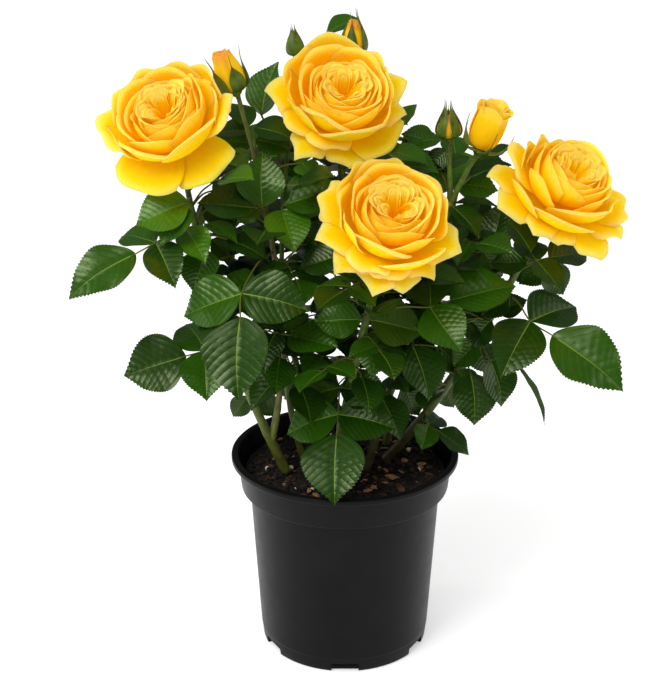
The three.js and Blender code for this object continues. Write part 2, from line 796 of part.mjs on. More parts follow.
function largestBody(solid) {
  const bodies = solid.decompose();
  bodies.sort((a, b) => b.volume() - a.volume());
  return bodies[0];
}

// The turn that takes local +Z to the way a bloom or bud faces
function seatTurn(faces, spin) {
  const turn = new THREE.Quaternion().setFromUnitVectors(up, faces.clone().normalize());
  return turn.multiply(new THREE.Quaternion().setFromAxisAngle(up, radians(spin)));
}

// A bloom in its own frame, seated at z = 0: the hip, a rounded heart and two whorls of pointed petals
function bloomSolid() {
  let solid = turned([
    [0, 0], [HIP_RADIUS * 0.8, 0], [HIP_RADIUS, HIP_HEIGHT], [HEART_RADIUS * 0.84, 17],
    [HEART_RADIUS, 28], [HEART_RADIUS * 0.7, BLOOM_HEIGHT - 1], [0, BLOOM_HEIGHT - 3],
  ], 10);
  for (const whorl of WHORLS) {
    solid = solid.add(whorlSolid(whorl));
  }
  return largestBody(solid);
}

// One whorl as a thin dished skirt whose rim runs out to a point at each petal
function whorlSolid(whorl) {
  const rim = [
    { out: 0.8, drop: 0 },
    { out: 0.97, drop: 1.5 },
    { out: 1, drop: 5 },
    { out: 0.97, drop: 1.5 },
  ];
  const steps = whorl.count * rim.length;
  const positions = [0, 0, whorl.low, 0, 0, whorl.low - PETAL_THICKNESS];
  const rings = [[0.5, 0.62, 0], [1, 1, 0], [0.5, 0.62, -PETAL_THICKNESS]];
  for (const [out, rise, below] of rings) {
    for (let i = 0; i < steps; i += 1) {
      const edge = rim[i % rim.length];
      const angle = (2 * Math.PI * i) / steps + radians(whorl.spin);
      const radius = out * whorl.reach * BLOOM_RADIUS * (out < 1 ? 1 : edge.out);
      const height = mix(whorl.low, whorl.tip, rise) - (out < 1 ? 0 : edge.drop) + below;
      positions.push(radius * Math.cos(angle), radius * Math.sin(angle), height);
    }
  }
  const at = (ring, i) => 2 + ring * steps + (i % steps);
  const triangles = [];
  for (let i = 0; i < steps; i += 1) {
    triangles.push(0, at(0, i), at(0, i + 1));
    triangles.push(at(0, i), at(1, i), at(1, i + 1), at(0, i), at(1, i + 1), at(0, i + 1));
    triangles.push(at(2, i), at(2, i + 1), at(1, i + 1), at(2, i), at(1, i + 1), at(1, i));
    triangles.push(1, at(2, i + 1), at(2, i));
  }
  return toSolid(positions, triangles);
}

const SEPAL_OUTLINE = [[-0.1, 0.4], [-0.1, -0.4], [0.4, -0.5], [1, 0], [0.4, 0.5]];
const SEPAL_THICKNESS = 1.2;

// A bud in its own frame: the hip, the rolled petals and its sepals
function budSolid(bud) {
  const half = bud.width / 2;
  const neck = Math.min(half * 0.55, 3.2);
  const profile = bud.open
    ? [[0, 0], [1.8, 0], [neck, 3], [half * 0.9, bud.length * 0.3], [half, bud.length * 0.5],
      [half * 0.86, bud.length * 0.78], [half * 0.62, bud.length], [0, bud.length * 0.96]]
    : [[0, 0], [1.6, 0], [neck, 3.2], [half, bud.length * 0.34], [half * 0.8, bud.length * 0.56],
      [half * 0.28, bud.length * 0.8], [0, bud.length * 0.9]];
  let solid = turned(profile, 8);
  const sepals = bud.open ? 5 : 3;
  for (let i = 0; i < sepals; i += 1) {
    const angle = (2 * Math.PI * i) / sepals;
    const spread = bud.open ? 1.6 : 0.5;
    const place = (u, v) => {
      const radius = mix(half * 0.6, half * spread, u);
      const across = v * half * 0.5;
      const height = bud.length * mix(0.2, bud.open ? 0.5 : 1, u);
      return new THREE.Vector3(
        radius * Math.cos(angle) - across * Math.sin(angle),
        radius * Math.sin(angle) + across * Math.cos(angle),
        height,
      );
    };
    solid = solid.add(blade(place, SEPAL_OUTLINE, [0.3, 0], SEPAL_THICKNESS));
  }
  return largestBody(solid);
}

const finish = (color, roughness) => new THREE.MeshStandardMaterial({ color, roughness, metalness: 0 });
const materials = {
  pot: finish('#1d1e20', 0.5),
  soil: finish('#2c1d14', 0.95),
  cane: finish('#5f7a2c', 0.6),
  leaf: finish('#2c5622', 0.45),
  petal: finish('#f6c62b', 0.6),
  bud: finish('#c9a52c', 0.6),
};

const plant = new THREE.Group();

function addMesh(name, solid, material, position, turn) {
  const mesh = new THREE.Mesh(toGeometry(solid), material);
  mesh.name = name;
  if (position) {
    mesh.position.copy(position);
    mesh.quaternion.copy(turn);
  }
  plant.add(mesh);
}

addMesh('pot', potSolid(), materials.pot);
addMesh('potting_soil', soilSolid(), materials.soil);

for (const [name, stem] of Object.entries(STEMS)) {
  addMesh(stem.on ? `bough_${name}` : `cane_${name}`, caneSolid(stem), materials.cane);
}
for (const [name, stem] of Object.entries(STEMS)) {
  const line = lineOf(stem);
  const from = partAtHeight(line, stem.leafy) + GAP / line.getLength();
  addMesh(`foliage_${name}`, foliageSolid(name, stem, from), materials.leaf);
}
const rightCane = stemSolid(STEMS.right, 0, 0.6, CANE_SIDES, CANE_STEP, GAP);
addMesh('foliage_low_right', foliageSolid('low_right', LOW_SHOOT, 0, rightCane), materials.leaf);

const bloom = bloomSolid();
for (const [name, { stem, faces, spin }] of Object.entries(BLOOMS)) {
  const way = vec(faces).normalize();
  const seat = seatOver(lineOf(STEMS[stem]), STEMS[stem].radius[1], way);
  addMesh(`bloom_${name}`, bloom, materials.petal, seat, seatTurn(way, spin));
}
for (const [name, bud] of Object.entries(BUDS)) {
  const way = vec(bud.points).normalize();
  const twig = TWIGS[bud.stem]?.[bud.twig];
  const line = twig ? twigLine(bud.stem, twig) : lineOf(STEMS[bud.stem]);
  const seat = seatOver(line, twig ? twig.radius : STEMS[bud.stem].radius[1], way);
  addMesh(`bud_${name}`, budSolid(bud), materials.bud, seat, seatTurn(way, 0));
}

export default plant;
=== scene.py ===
# A yellow rose bush in a round black nursery pot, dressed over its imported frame.
# Shapes are worked out in millimetres in the frame's own axes, and become metres when a mesh is made.
import math

import bpy
import numpy as np
from mathutils import Matrix, Vector


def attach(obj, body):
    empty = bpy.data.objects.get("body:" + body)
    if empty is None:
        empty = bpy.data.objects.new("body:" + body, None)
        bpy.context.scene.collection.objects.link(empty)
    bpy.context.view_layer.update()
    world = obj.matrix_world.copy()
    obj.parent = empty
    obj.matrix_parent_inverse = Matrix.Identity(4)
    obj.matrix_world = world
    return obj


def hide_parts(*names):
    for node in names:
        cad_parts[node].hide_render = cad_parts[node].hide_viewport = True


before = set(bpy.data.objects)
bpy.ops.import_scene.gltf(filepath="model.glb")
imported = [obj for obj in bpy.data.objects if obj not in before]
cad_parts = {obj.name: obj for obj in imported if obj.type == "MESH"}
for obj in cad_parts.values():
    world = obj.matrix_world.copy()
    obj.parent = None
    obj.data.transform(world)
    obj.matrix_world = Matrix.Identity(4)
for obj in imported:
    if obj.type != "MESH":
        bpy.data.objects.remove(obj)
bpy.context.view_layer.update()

MM = 0.001
GAP = 0.3

# The camera, as the pot's rim and foot in the photograph place it
CAMERA_PLACE = (-7.4, -800, 489)
CAMERA_PITCH = 20.82
CAMERA_LENS = 81.3

# Pot
POT_HEIGHT = 117
RIM_RADIUS = 65
RIM_INNER_RADIUS = 61.1
RIM_DROP = 3.4
COLLAR_TOP_RADIUS = 61.4
COLLAR_FOOT_RADIUS = 59.4
COLLAR_FOOT_HEIGHT = 97
WALL_TOP_RADIUS = 54.6
WALL_FOOT_RADIUS = 49.2
FOOT_BAND_HEIGHT = 8
FOOT_RADIUS = 48.1
WALL = 1.5
FLOOR = 2
CORNER_RADIUS = 0.9
POT_SEGMENTS = 160
SHARP_ANGLE = 40
NOTCH_COUNT = 6
NOTCH_WIDTH = 15.5
NOTCH_HEIGHT = 5
NOTCH_DEPTH = 3

# Soil, and what lies loose on it: how many, how far they keep from the soil's edge, their least and
# greatest size, how much smaller ones prevail, how high they lie, and how flat and long they are
SOIL_LEVEL = 108
SOIL_RADIUS = 57.2
SOIL_RINGS = 60
SOIL_SEGMENTS = 150
CANE_ROOM = 4.5
LITTER = (
    ("soil_crumbs", 1500, 2, (1, 4.2), 2.2, 0.15, (0.75, 1.2)),
    ("bark_chips", 95, 4, (1.8, 4.2), 1, 0.22, (0.35, 1.7)),
    ("perlite_grains", 14, 4, (1.6, 3.6), 1, 0.3, (0.9, 1.1)),
)
LUMP_ROWS = 4
LUMP_SIDES = 6

# Leaves: lengths are parts of the end leaflet's length
RACHIS = 0.3
PAIR_STEP = 0.42
UPPER_PAIR = {"turn": 77, "size": 0.82}
LOWER_PAIR = {"turn": 82, "size": 0.7}
PAIR_DROOP = 5
HALF_WIDTH = 0.39
BLADE_CUP = 0.22
BLADE_DROOP = 0.12
STALK_ARCH = 0.1
STALK_END = 0.08
STALK_RADII = (0.6, 0.35)
STALK_SIDES = 6
OVAL_SKEW = 0.82
OVAL_POWER = 0.86

# How much wider than the solid's leaflets they are drawn, and the end leaflets that are turned about
# their own midrib; some front leaves have a width of their own
FRONT_WIDER = 1.13
OTHERS_WIDER = 1.06
DRAWN_WIDTHS = {
    ("right", 190): 0.36, ("left", 187): 1.18, ("left", 243): 0.8, ("right", 214): 0.97,
    ("left_inner", 238): 1.05,
}
DRAWN_ROLLS = {("left", 243): -26, ("left", 187): -22, ("right", 214): 16}

# The relief of a leaf's veins, and its margin's teeth
VEIN_COUNT = 8.5
VEIN_SLANT = 0.55
VEIN_BEND = 1.0
QUILT = 0.0105
TOOTH = 0.013
RIB_WIDTH = 0.0085
RIB_BOW = 0.032
RIB_GROOVE = 0.012
BLADE_THICKNESS = 0.3
FINE_BLADE = {"rows": 52, "top": (0, 0.18, 0.4, 0.62, 0.82, 1), "under": (0, 0.5, 1)}
COARSE_BLADE = {"rows": 32, "top": (0, 0.3, 0.65, 1), "under": (0, 1)}

# The materials of a leaf, by number
DARK, MID, FRESH, OLIVE, RIB, UNDER = range(6)
FRESH_HEIGHT = 255

# Stems: foot, knee and top of one bent line each, the radius at its foot and top, and the height at
# which its foliage begins
STEMS = {
    name: {"line": (foot, knee, top), "radius": radius, "leafy": leafy}
    for name, foot, knee, top, radius, leafy in (
        ("left", (-33, -11, SOIL_LEVEL), (-76, -16, 202), (-88, -7, 300), (3.4, 1.5), 168),
        ("left_inner", (-42, -12, 127), (-23, -13, 200), (-56.9, 3, 320.5), (2.5, 1.1), 168),
        ("slim", (-23, 3, SOIL_LEVEL), (-46, -8, 180), (-26.5, 26, 336), (2.2, 0.9), 158),
        ("centre", (-6, 0, SOIL_LEVEL), (2, -24, 168), (21, -46, 259), (3.2, 1.9), 160),
        ("dark", (5, 16, SOIL_LEVEL), (1, 2, 200), (-4, 14, 307), (3, 1.7), 184),
        ("rear_right", (12, -8, SOIL_LEVEL), (36, 4, 190), (57, 1, 264), (3, 1.7), 172),
        ("right", (23, 6, SOIL_LEVEL), (62, 3, 150), (110, -10, 265), (3.6, 1.8), 156),
        ("back_left", (-17, 26, SOIL_LEVEL), (-38, 44, 190), (-50, 62, 268), (2.6, 1.1), 150),
        ("back", (3, 36, SOIL_LEVEL), (8, 48, 200), (8, 66, 296), (2.6, 1.1), 152),
        ("back_right", (24, 27, SOIL_LEVEL), (48, 40, 180), (66, 56, 262), (2.6, 1.1), 148),
    )
}

# Side twigs that fork from a foliage stem at a height and end under a bud
TWIGS = {
    "rear_right": [
        {"at": 262, "top": (55.3, 5, 295), "radius": 1.1},
        {"at": 260, "top": (69.5, 0, 289.5), "radius": 1.3},
    ],
    "dark": [{"at": 268, "top": (5, 40, 333), "radius": 1}],
}
TWIG_ARCH = 0.12

# How the canes are drawn: slimmer at the foot, with a swelling at each old leaf's node and prickles
# at parts of the way up
CANE_SIDES = 14
CANE_FOOT = 0.82
NODE_STEP = 22
NODE_SWELLING = 0.28
NODE_HALF_HEIGHT = 1.6
UNEVEN_BARK = 0.12
PRICKLES_AT = (0.1, 0.24, 0.4, 0.58)
PRICKLE_LENGTH = (2, 3)
GREEN_BARK, DARK_BARK, BRONZE_BARK, PRICKLE = range(4)
BARKS = {"left_inner": BRONZE_BARK, **dict.fromkeys(("dark", "rear_right", "right", "back"), DARK_BARK)}

# The front leaves, placed as they hang: the stem that carries each and the height of its joint,
# the fork where its upper pair joins, then heading, rise and roll in degrees,
# the end leaflet's length and the number of leaflets
FRONT_LEAVES = (
    ("left", 243, (-99.8, -30, 250.6), 208, -21, -12, 41, 5),
    ("left", 187, (-77, -15, 184), 190, -13, -30, 36, 3),
    ("left", 268, (-82, -28, 272), 193, -18, -46, 30, 1),
    ("left", 266, (-83, -26, 269), 225, -37, -11, 25, 1),
    ("left", 245, (-75, -22, 244), -107, -36, 0, 25, 1),
    ("left", 258, (-75, -14, 256), -28, -11, 0, 21, 1),
    ("left", 264, (-72, 10, 268), -15, 47, 0, 23, 1),
    ("left_inner", 238, (-54, -52, 230), -93, -50, 10, 43, 3),
    ("left_inner", 300, (-51, 10, 301), 180, 0, -20, 20, 1),
    ("left_inner", 301, (-52, 8, 304), 126, 38, 0, 19, 1),
    ("left_inner", 284, (-49, 6, 304), -17, -6, 20, 24, 1),
    ("slim", 276, (-46, 25, 306), 42, 75, 0, 30, 1),
    ("slim", 272, (-46, 31, 305), 4, 47, 0, 23, 1),
    ("left_inner", 256, (-47, -22, 267), 185, 12, -26, 31, 1),
    ("left_inner", 259, (-44, -20, 267), 90, 70, 0, 29, 1),
    ("slim", 264, (-34, -18, 265), -72, -27, 0, 28, 1),
    ("slim", 266, (-33, -16, 267), 6, 20, 32, 34, 1),
    ("left_inner", 184, (-30, -26, 179), -152, -34, 0, 32, 1),
    ("slim", 182, (-26, -24, 177), -13, -11, 0, 26, 1),
    ("centre", 167, (-4, -36, 155), -95, -41, 11, 39, 5),
    ("centre", 212, (8, -42, 212), 180, 0, -50, 25, 1),
    ("centre", 214, (13, -42, 212), -4, -11, 50, 29, 1),
    ("centre", 198, (20, -32, 201), -113, -45, 0, 25, 1),
    ("centre", 208, (44, -45, 220), 9, 17, 28, 36, 3),
    ("centre", 165, (20, -22, 159), -52, -43, 0, 25, 1),
    ("centre", 236, (-4, -25, 242), 186, -13, -41, 22, 1),
    ("rear_right", 195, (36, -30, 193), -62, -46, 0, 31, 1),
    ("rear_right", 261, (59, 2, 263), -4, 4, -20, 24, 1),
    ("rear_right", 236, (79, 0, 237), 64, 61, 0, 27, 1),
    ("rear_right", 258, (57, -8, 264), -42, -29, 0, 23, 1),
    ("rear_right", 263, (51, 12, 280), 24, 19, 12, 19, 1),
    ("rear_right", 263, (55, 12, 278), 160, 43, 0, 19, 1),
    ("rear_right", 262, (68, 14, 274), 11, 22, 13, 24, 1),
    ("dark", 284, (30, 14, 290), 5, 20, 22, 24, 1),
    ("dark", 286, (28, 20, 300), 40, 48, 0, 18, 1),
    ("dark", 316, (-10, 55, 346), 1, 31, 20, 19, 1),
    ("right", 214, (99, -28, 206), -34, -22, 16, 47, 3),
    ("right", 236, (101, -24, 239), 26, 2, 26, 26, 3),
    ("right", 240, (98, -12, 234), 172, 0, -40, 20, 1),
    ("right", 243, (98, -24, 244), 135, 45, 0, 22, 1),
    ("right", 172, (69, -15, 171), -79, -60, 0, 29, 1),
    ("right", 184, (80, -12, 177), -54, -56, 0, 26, 1),
    ("right", 190, (97, 0, 169), -20, -53, -38, 36, 1),
)
FRONT_CLEARANCE = 1.2

# The low shoot beside the right cane
LOW_SHOOT = {"line": ((44, 3, 136), (45, 0, 137), (46, -3, 136)), "radius": (0.9, 0.9)}
LOW_LEAF = ((47, -5, 135), -16, -27, 13, 22, 3)

# Small leaves that close the gaps behind the front ones: the stem and height of the joint, the
# leaflet's foot, its heading, rise and roll, and its length
SHADE_LEAVES = (
    ("left_inner", 285, (-51, 10, 294), 186, 5, -50, 19),
    ("left_inner", 288, (-48, 6, 297), -7, -12, 50, 19),
    ("left_inner", 280, (-51, 4, 290), 190, -22, -50, 13),
    ("dark", 288, (48, 18, 293), 186, 20, -50, 18),
    ("rear_right", 255, (56, 10, 268), 188, 46, -50, 20),
    ("rear_right", 256, (61, 26, 267), -5, -4, 50, 24),
    ("rear_right", 275, (55, 12, 290), 192, -42, -55, 15),
    ("rear_right", 262, (71, 24, 281), -6, -12, 50, 19),
    ("left", 252, (-78, 6, 260), -6, -22, 50, 20),
    ("left_inner", 252, (-46, 8, 261), 189, -34, -50, 17),
    ("left", 236, (-73, 4, 242), -10, -41, 55, 17),
    ("right", 226, (112, 6, 228), 187, -34, -50, 20),
    ("right", 228, (92, 8, 232), -11, -57, 65, 20),
    ("right", 230, (110, -4, 231), -9, -60, 65, 21),
    ("rear_right", 226, (77, 12, 232), -13, -62, 65, 20),
    ("rear_right", 200, (82, 8, 204), 189, -31, -50, 18),
    ("right", 194, (85, 10, 198), -8, 28, 50, 18),
    ("rear_right", 180, (53, 4, 178), -7, -38, 55, 21),
    ("right", 176, (75, 6, 182), -22, -72, 65, 21),
    ("centre", 158, (34, 6, 153), -14, -62, 65, 19),
    ("right", 156, (54, 8, 155), -15, -58, 65, 17),
    ("left_inner", 160, (-47, 0, 152), -15, -59, 65, 16),
    ("left", 158, (-55, -4, 152), 194, -53, -65, 15),
    ("right", 222, (90, -9, 217), 187, -40, -50, 22),
    ("right", 204, (80, -9, 200), 188, -52, -55, 20),
    ("right", 190, (73, -8, 187), 185, -46, -55, 20),
    ("right", 174, (62, -8, 170), -10, -56, 65, 18),
)

# The other leaves grow by a seeded rule, each a turn on from the last one up its stem, and are kept
# where one of their tries is clear of the others. Rise goes from the stem's foot to its top; swing,
# sway and roll are spreads in degrees; many is the share with the first number of leaflets, crown a
# part of the crown's radius, and own the clearance from the same stem's leaves. Finer leaves fill
# the crown between the main ones.
SEED = 20515
LEAF_TURN = 144
STALK_RISE = 25
FULL_TRIES = 4
MAIN_LEAVES = {
    "above": 8, "end": 0.94, "spacing": 17, "tries": 8, "swing": 30, "rise": (-25, 20), "sway": 40,
    "roll": 50, "reach": (20, 34), "blade": (25, 35), "shrink": 0.25, "leaflets": (5, 3), "many": 0.6,
    "crown": 1, "clearance": 2.6, "own": 1.5, "fine": True,
}
FILL_LEAVES = {
    "above": -6, "end": 0.95, "spacing": 9, "tries": 7, "swing": 60, "rise": (-30, 25), "sway": 50,
    "roll": 60, "reach": (10, 34), "blade": (20, 31), "shrink": 0, "leaflets": (3, 1), "many": 0.7,
    "crown": 0.9, "clearance": 0.9, "own": 0.6, "fine": False,
}
FILL_ROUNDS = 3

# Leaves hang down the outer side of the rear canes, where the picture can't show them, and a
# few close the tips of those that end bare
BACK_SEED = 7351
BACK_CANES = {"back_left": 128, "back": 92, "back_right": 50, "slim": 110, "dark": 95, "rear_right": 75}
BARE_TIPS = ("back_left", "back", "back_right")
BACK_BELOW = 12
BACK_SPACING = 6
BACK_FAN = 80
BACK_REACH = (7, 22)
BACK_RISE = (-64, -20)
BACK_BLADE = (25, 32)
BACK_ROLL = 40
TIP_TURNS = (-125, -40, 45, 130)
TIP_RISE = 34
TIP_REACH = 9
TIP_BLADE = 20

# The crown's own space, as its radius at each height, round an axis through the pot
CROWN = ((112, 26), (135, 46), (160, 72), (190, 92), (230, 104), (265, 98), (290, 84), (315, 52), (345, 12))
CROWN_AXIS_Y = 8

# Blooms: the stem under each, the way it faces, and the place of its eye
BLOOMS = {
    "left": {"stem": "left", "faces": (-0.3, -0.6, 0.74), "eye": (2.9, -1.7)},
    "top": {"stem": "dark", "faces": (0.1, -0.65, 0.75), "eye": (0.8, -2.3)},
    "centre": {"stem": "centre", "faces": (0.12, -0.66, 0.74), "eye": (0.1, -0.6)},
    "right": {"stem": "right", "faces": (0.35, -0.5, 0.79), "eye": (0.6, 0.6)},
}
BLOOM_RADIUS = 36.5
BLOOM_HEIGHT = 36
HIP_RADIUS = 3.6
HIP_HEIGHT = 7
HIP_SEGMENTS = 20
SEPAL_COUNT = 5
SEPAL_ROWS = 20
SEPAL_COLUMNS = 7
SEPAL_WIDTH = 7
SEPAL_THICKNESS = 0.5

# The mesh of a petal, the part of its length at which its rim starts to roll, and its thickness
PETAL_ROWS = 22
PETAL_COLUMNS = 17
ROLL_START = 0.87
PETAL_THICKNESS = 0.55

# The kinds of petal: where the middle of each bends on its way from the hip to its tip, as parts
# of the tip's radius and height, and how its margin is shaped
GUARD = {
    "bends": ((0.62, 0.2), (0.9, 1.0)), "lift": (2.5, 4.5), "claw": 0.2, "wrap": (1.1, 1.8), "curl": 0.9,
    "tuck": 0.8, "ruffle": 0.9, "slot": 0, "upright": False,
}
CUP = {
    "lift": (1, 0), "claw": 0.22, "blunt": 2, "wrap": (0.95, 0.95), "sides": 0.3, "tuck": 0.7, "slot": 1,
    "upright": True,
}
PETAL_KINDS = {
    "guard": {**GUARD, "drop": 0.3, "blunt": 1.8, "sides": 1.6, "ruffle": 1.3, "cusp": 0.08},
    # Round guards take material 3, the darker copy of the outer petals' colours that paints shade on them.
    "round": {**GUARD, "drop": 0.26, "blunt": 2.1, "sides": 1.2, "slot": 3},
    "pointed": {
        **GUARD, "bends": ((0.62, 0.2), (0.88, 1.0)), "drop": 0.44, "blunt": 1.05, "curl": 0.3, "sides": 2.4,
        "cusp": 0.1,
    },
    "bowl": {
        **CUP, "bends": ((0.98, 0.2), (1.07, 0.7)), "drop": 0.24, "wrap": (1.0, 1.05), "curl": 0.8,
        "sides": 0.8, "tuck": 1.0, "ruffle": 0.9, "cusp": 0.03,
    },
    "rolled": {**CUP, "bends": ((0.98, 0.2), (1.12, 0.7)), "drop": 0.26, "curl": 2.6, "ruffle": 0.35},
    "inner": {
        **CUP, "bends": ((1.02, 0.25), (1.15, 0.72)), "lift": (2, 0), "claw": 0.24, "drop": 0.24,
        "curl": 1.1, "ruffle": 0.3, "slot": 2,
    },
}

# The placed petals of each bloom: kind, angle round its axis from the picture's right, radius and
# height of the tip, and width
PLACED_PETALS = {
    "left": (
        ("round", 240, 38.5, 4, 46), ("round", 306, 38, 0, 36), ("guard", 188, 35, 24, 32),
        ("guard", 354, 38, 18, 29), ("guard", 100, 30, 14, 30), ("guard", 45, 31, 16, 30),
        ("bowl", 80, 29, 27, 34), ("bowl", 38, 32, 28, 33), ("bowl", 116, 28, 29, 30),
        ("bowl", 152, 28.5, 28, 32), ("bowl", 6, 30.5, 26, 30), ("bowl", 200, 28.5, 26, 32),
        ("rolled", 240, 28, 26, 38), ("rolled", 310, 30.5, 26, 40), ("inner", 258, 24, 29.5, 32),
        ("inner", 322, 23.5, 30.5, 30), ("inner", 20, 24, 30, 34), ("inner", 84, 23, 31, 36),
        ("inner", 142, 23, 31, 34), ("inner", 204, 22.5, 30, 30),
    ),
    "top": (
        ("pointed", 174, 40.5, 12, 36), ("pointed", 234, 40, 3, 26), ("guard", 204, 34, 10, 26),
        ("guard", 254, 31.5, 10, 27), ("guard", 281, 35, 1, 28), ("round", 320, 36.5, 7, 36),
        ("pointed", 26, 39.5, 12, 26), ("pointed", 356, 35, 8, 28), ("guard", 75, 28, 14, 30),
        ("bowl", 106, 32.5, 30, 40), ("bowl", 143, 31, 29, 32), ("bowl", 50, 27, 29.5, 30),
        ("bowl", 14, 25.5, 29, 30), ("bowl", 182, 29, 28, 32), ("bowl", 214, 28.5, 27, 28),
        ("bowl", 338, 27, 26, 28), ("rolled", 285, 30, 26, 42), ("rolled", 243, 26.5, 30, 33),
        ("inner", 305, 23, 30.5, 32), ("inner", 5, 22.5, 30.5, 32), ("inner", 62, 23, 31.5, 36),
        ("inner", 120, 24.5, 32, 36), ("inner", 176, 23.5, 31, 32), ("inner", 226, 22, 30, 28),
    ),
    "centre": (
        ("guard", 163, 38.5, 14, 29), ("pointed", 199, 40.5, 12, 30), ("pointed", 226, 40.5, 7, 26),
        ("pointed", 257, 39, 2, 28), ("guard", 281, 34.5, 1, 24), ("pointed", 308, 35.5, 5, 24),
        ("pointed", 340, 38.5, 9, 34), ("guard", 243, 34.5, 13, 27), ("guard", 268, 33, 9, 25),
        ("guard", 60, 27, 14, 30), ("guard", 110, 27, 16, 30), ("bowl", 106, 27, 31, 34),
        ("bowl", 140, 30, 29, 32), ("bowl", 172, 28.5, 29, 30), ("bowl", 50, 25.5, 29, 32),
        ("bowl", 12, 27, 25, 32), ("bowl", 206, 27.5, 28, 29), ("rolled", 292, 31.5, 22.5, 40),
        ("rolled", 250, 27, 28.5, 36), ("inner", 294, 23.5, 30, 27),
        ("inner", 352, 22, 30, 30), ("inner", 42, 22.5, 31, 34), ("inner", 100, 23, 32, 36),
        ("inner", 158, 23, 31, 32), ("inner", 218, 22, 30, 30),
    ),
    "right": (
        ("pointed", 180, 42.5, 7, 30), ("guard", 208, 41, 6, 27), ("guard", 241, 36, 6, 24),
        ("guard", 266, 33.5, 4, 24), ("guard", 303, 41, 3, 26), ("pointed", 328, 41, 8, 24),
        ("guard", 356, 37.5, 12, 31), ("guard", 172, 37, 22, 30), ("guard", 50, 22, 12, 30),
        ("guard", 105, 22, 14, 30), ("bowl", 118, 23, 26.5, 32), ("bowl", 70, 20.5, 27, 32),
        ("bowl", 18, 22, 26, 30), ("bowl", 160, 29, 26, 30), ("bowl", 140, 26.5, 28, 27),
        ("rolled", 212, 33.5, 20, 27), ("rolled", 256, 32, 20, 44), ("rolled", 283, 27, 25, 42),
        ("bowl", 330, 26, 24, 28), ("inner", 210, 24, 27, 28),
        ("inner", 310, 21.5, 28.5, 30), ("inner", 158, 21.5, 29, 30),
    ),
}

# The heart of each bloom: cupped petals, each a golden angle on from the last and smaller, that
# lean in over the eye. Tips, heights and radii go from the outermost petal to the innermost.
HEART = {
    "tips": (0.93, 0.84), "uneven": (0.93, 1.05), "heights": (31, 31), "drift": (-1.3, 1.0), "foot": (2, 10),
    "near": (1.02, 12), "far": (1.12, 0.8), "widths": (1.4, 2.0), "ruffles": (0.4, 1.0), "wave": (1.2, 3),
    "claw": 0.3, "drop": 0.22, "blunt": 2, "wrap": (1, 1), "curl": 1.2, "sides": 0.4, "tuck": 1.4,
}
GOLDEN_ANGLE = 137.5
HEART_PETALS = 17
HEART_RADIUS = (20.5, 13)

# The knots of petals folded round the eye, their backs outwards: the way each lies from the eye,
# how far off, and the radius of its widest petal
KNOT = {
    "tips": (1, 1), "uneven": (0.85, 1.05), "heights": (31, 29), "drift": (-0.9, 0.9), "foot": (1, 14),
    "near": (0.9, 16), "far": (1.15, 0.86), "widths": (2.3, 3.2), "ruffles": (0.1, 0.5), "wave": (1.5, 3.5),
    "claw": 0.5, "drop": 0.12, "blunt": 2, "wrap": (1, 1), "curl": 0.9, "sides": 0.1, "tuck": 0.5,
}
KNOTS = (
    (214, 5.5, 5.5), (330, 6, 6), (132, 8.5, 8), (58, 8.5, 8), (96, 7, 5), (176, 8.5, 5.5), (8, 8.5, 5.5),
)
KNOT_PETALS = 5
KNOT_INNER_RADIUS = 1.6

# Buds: the stem and side twig that end under each, the way it points, its length and width, and how
# it is drawn: its kind, its first petal's angle, its size, its sepals' cover, its own lean and petals
BUD_PARTS = ("stem", "twig", "points", "length", "width", "kind", "turn", "size", "cover", "lean", "look")
BUD_ROWS = (
    ("upper_left", "left_inner", None, (-8, -2, 24), 27, 16, "half", 300, 0.97, 0.9, (-9, -2, 24), "orange"),
    ("top_left", "slim", None, (-2, 0, 18), 18, 8.5, "closed", 262, 1, 1.4, (-2, 0, 18), "amber"),
    ("top_back", "dark", 0, (-1, -2, 22), 24, 13, "showing", 262, 1, 1, (-1, -2, 22), "orange"),
    ("right_closed", "rear_right", 0, (-1, 0, 22), 22, 12.5, "closed", 300, 1, 0.7, (-1, 0, 22), "amber"),
    ("right_opening", "rear_right", 1, (7, -4, 32), 33, 18, "opening", 205, 0.97, 1, (11, -4, 31), "yellow"),
)
BUDS = {name: dict(zip(BUD_PARTS, parts)) for name, *parts in BUD_ROWS}

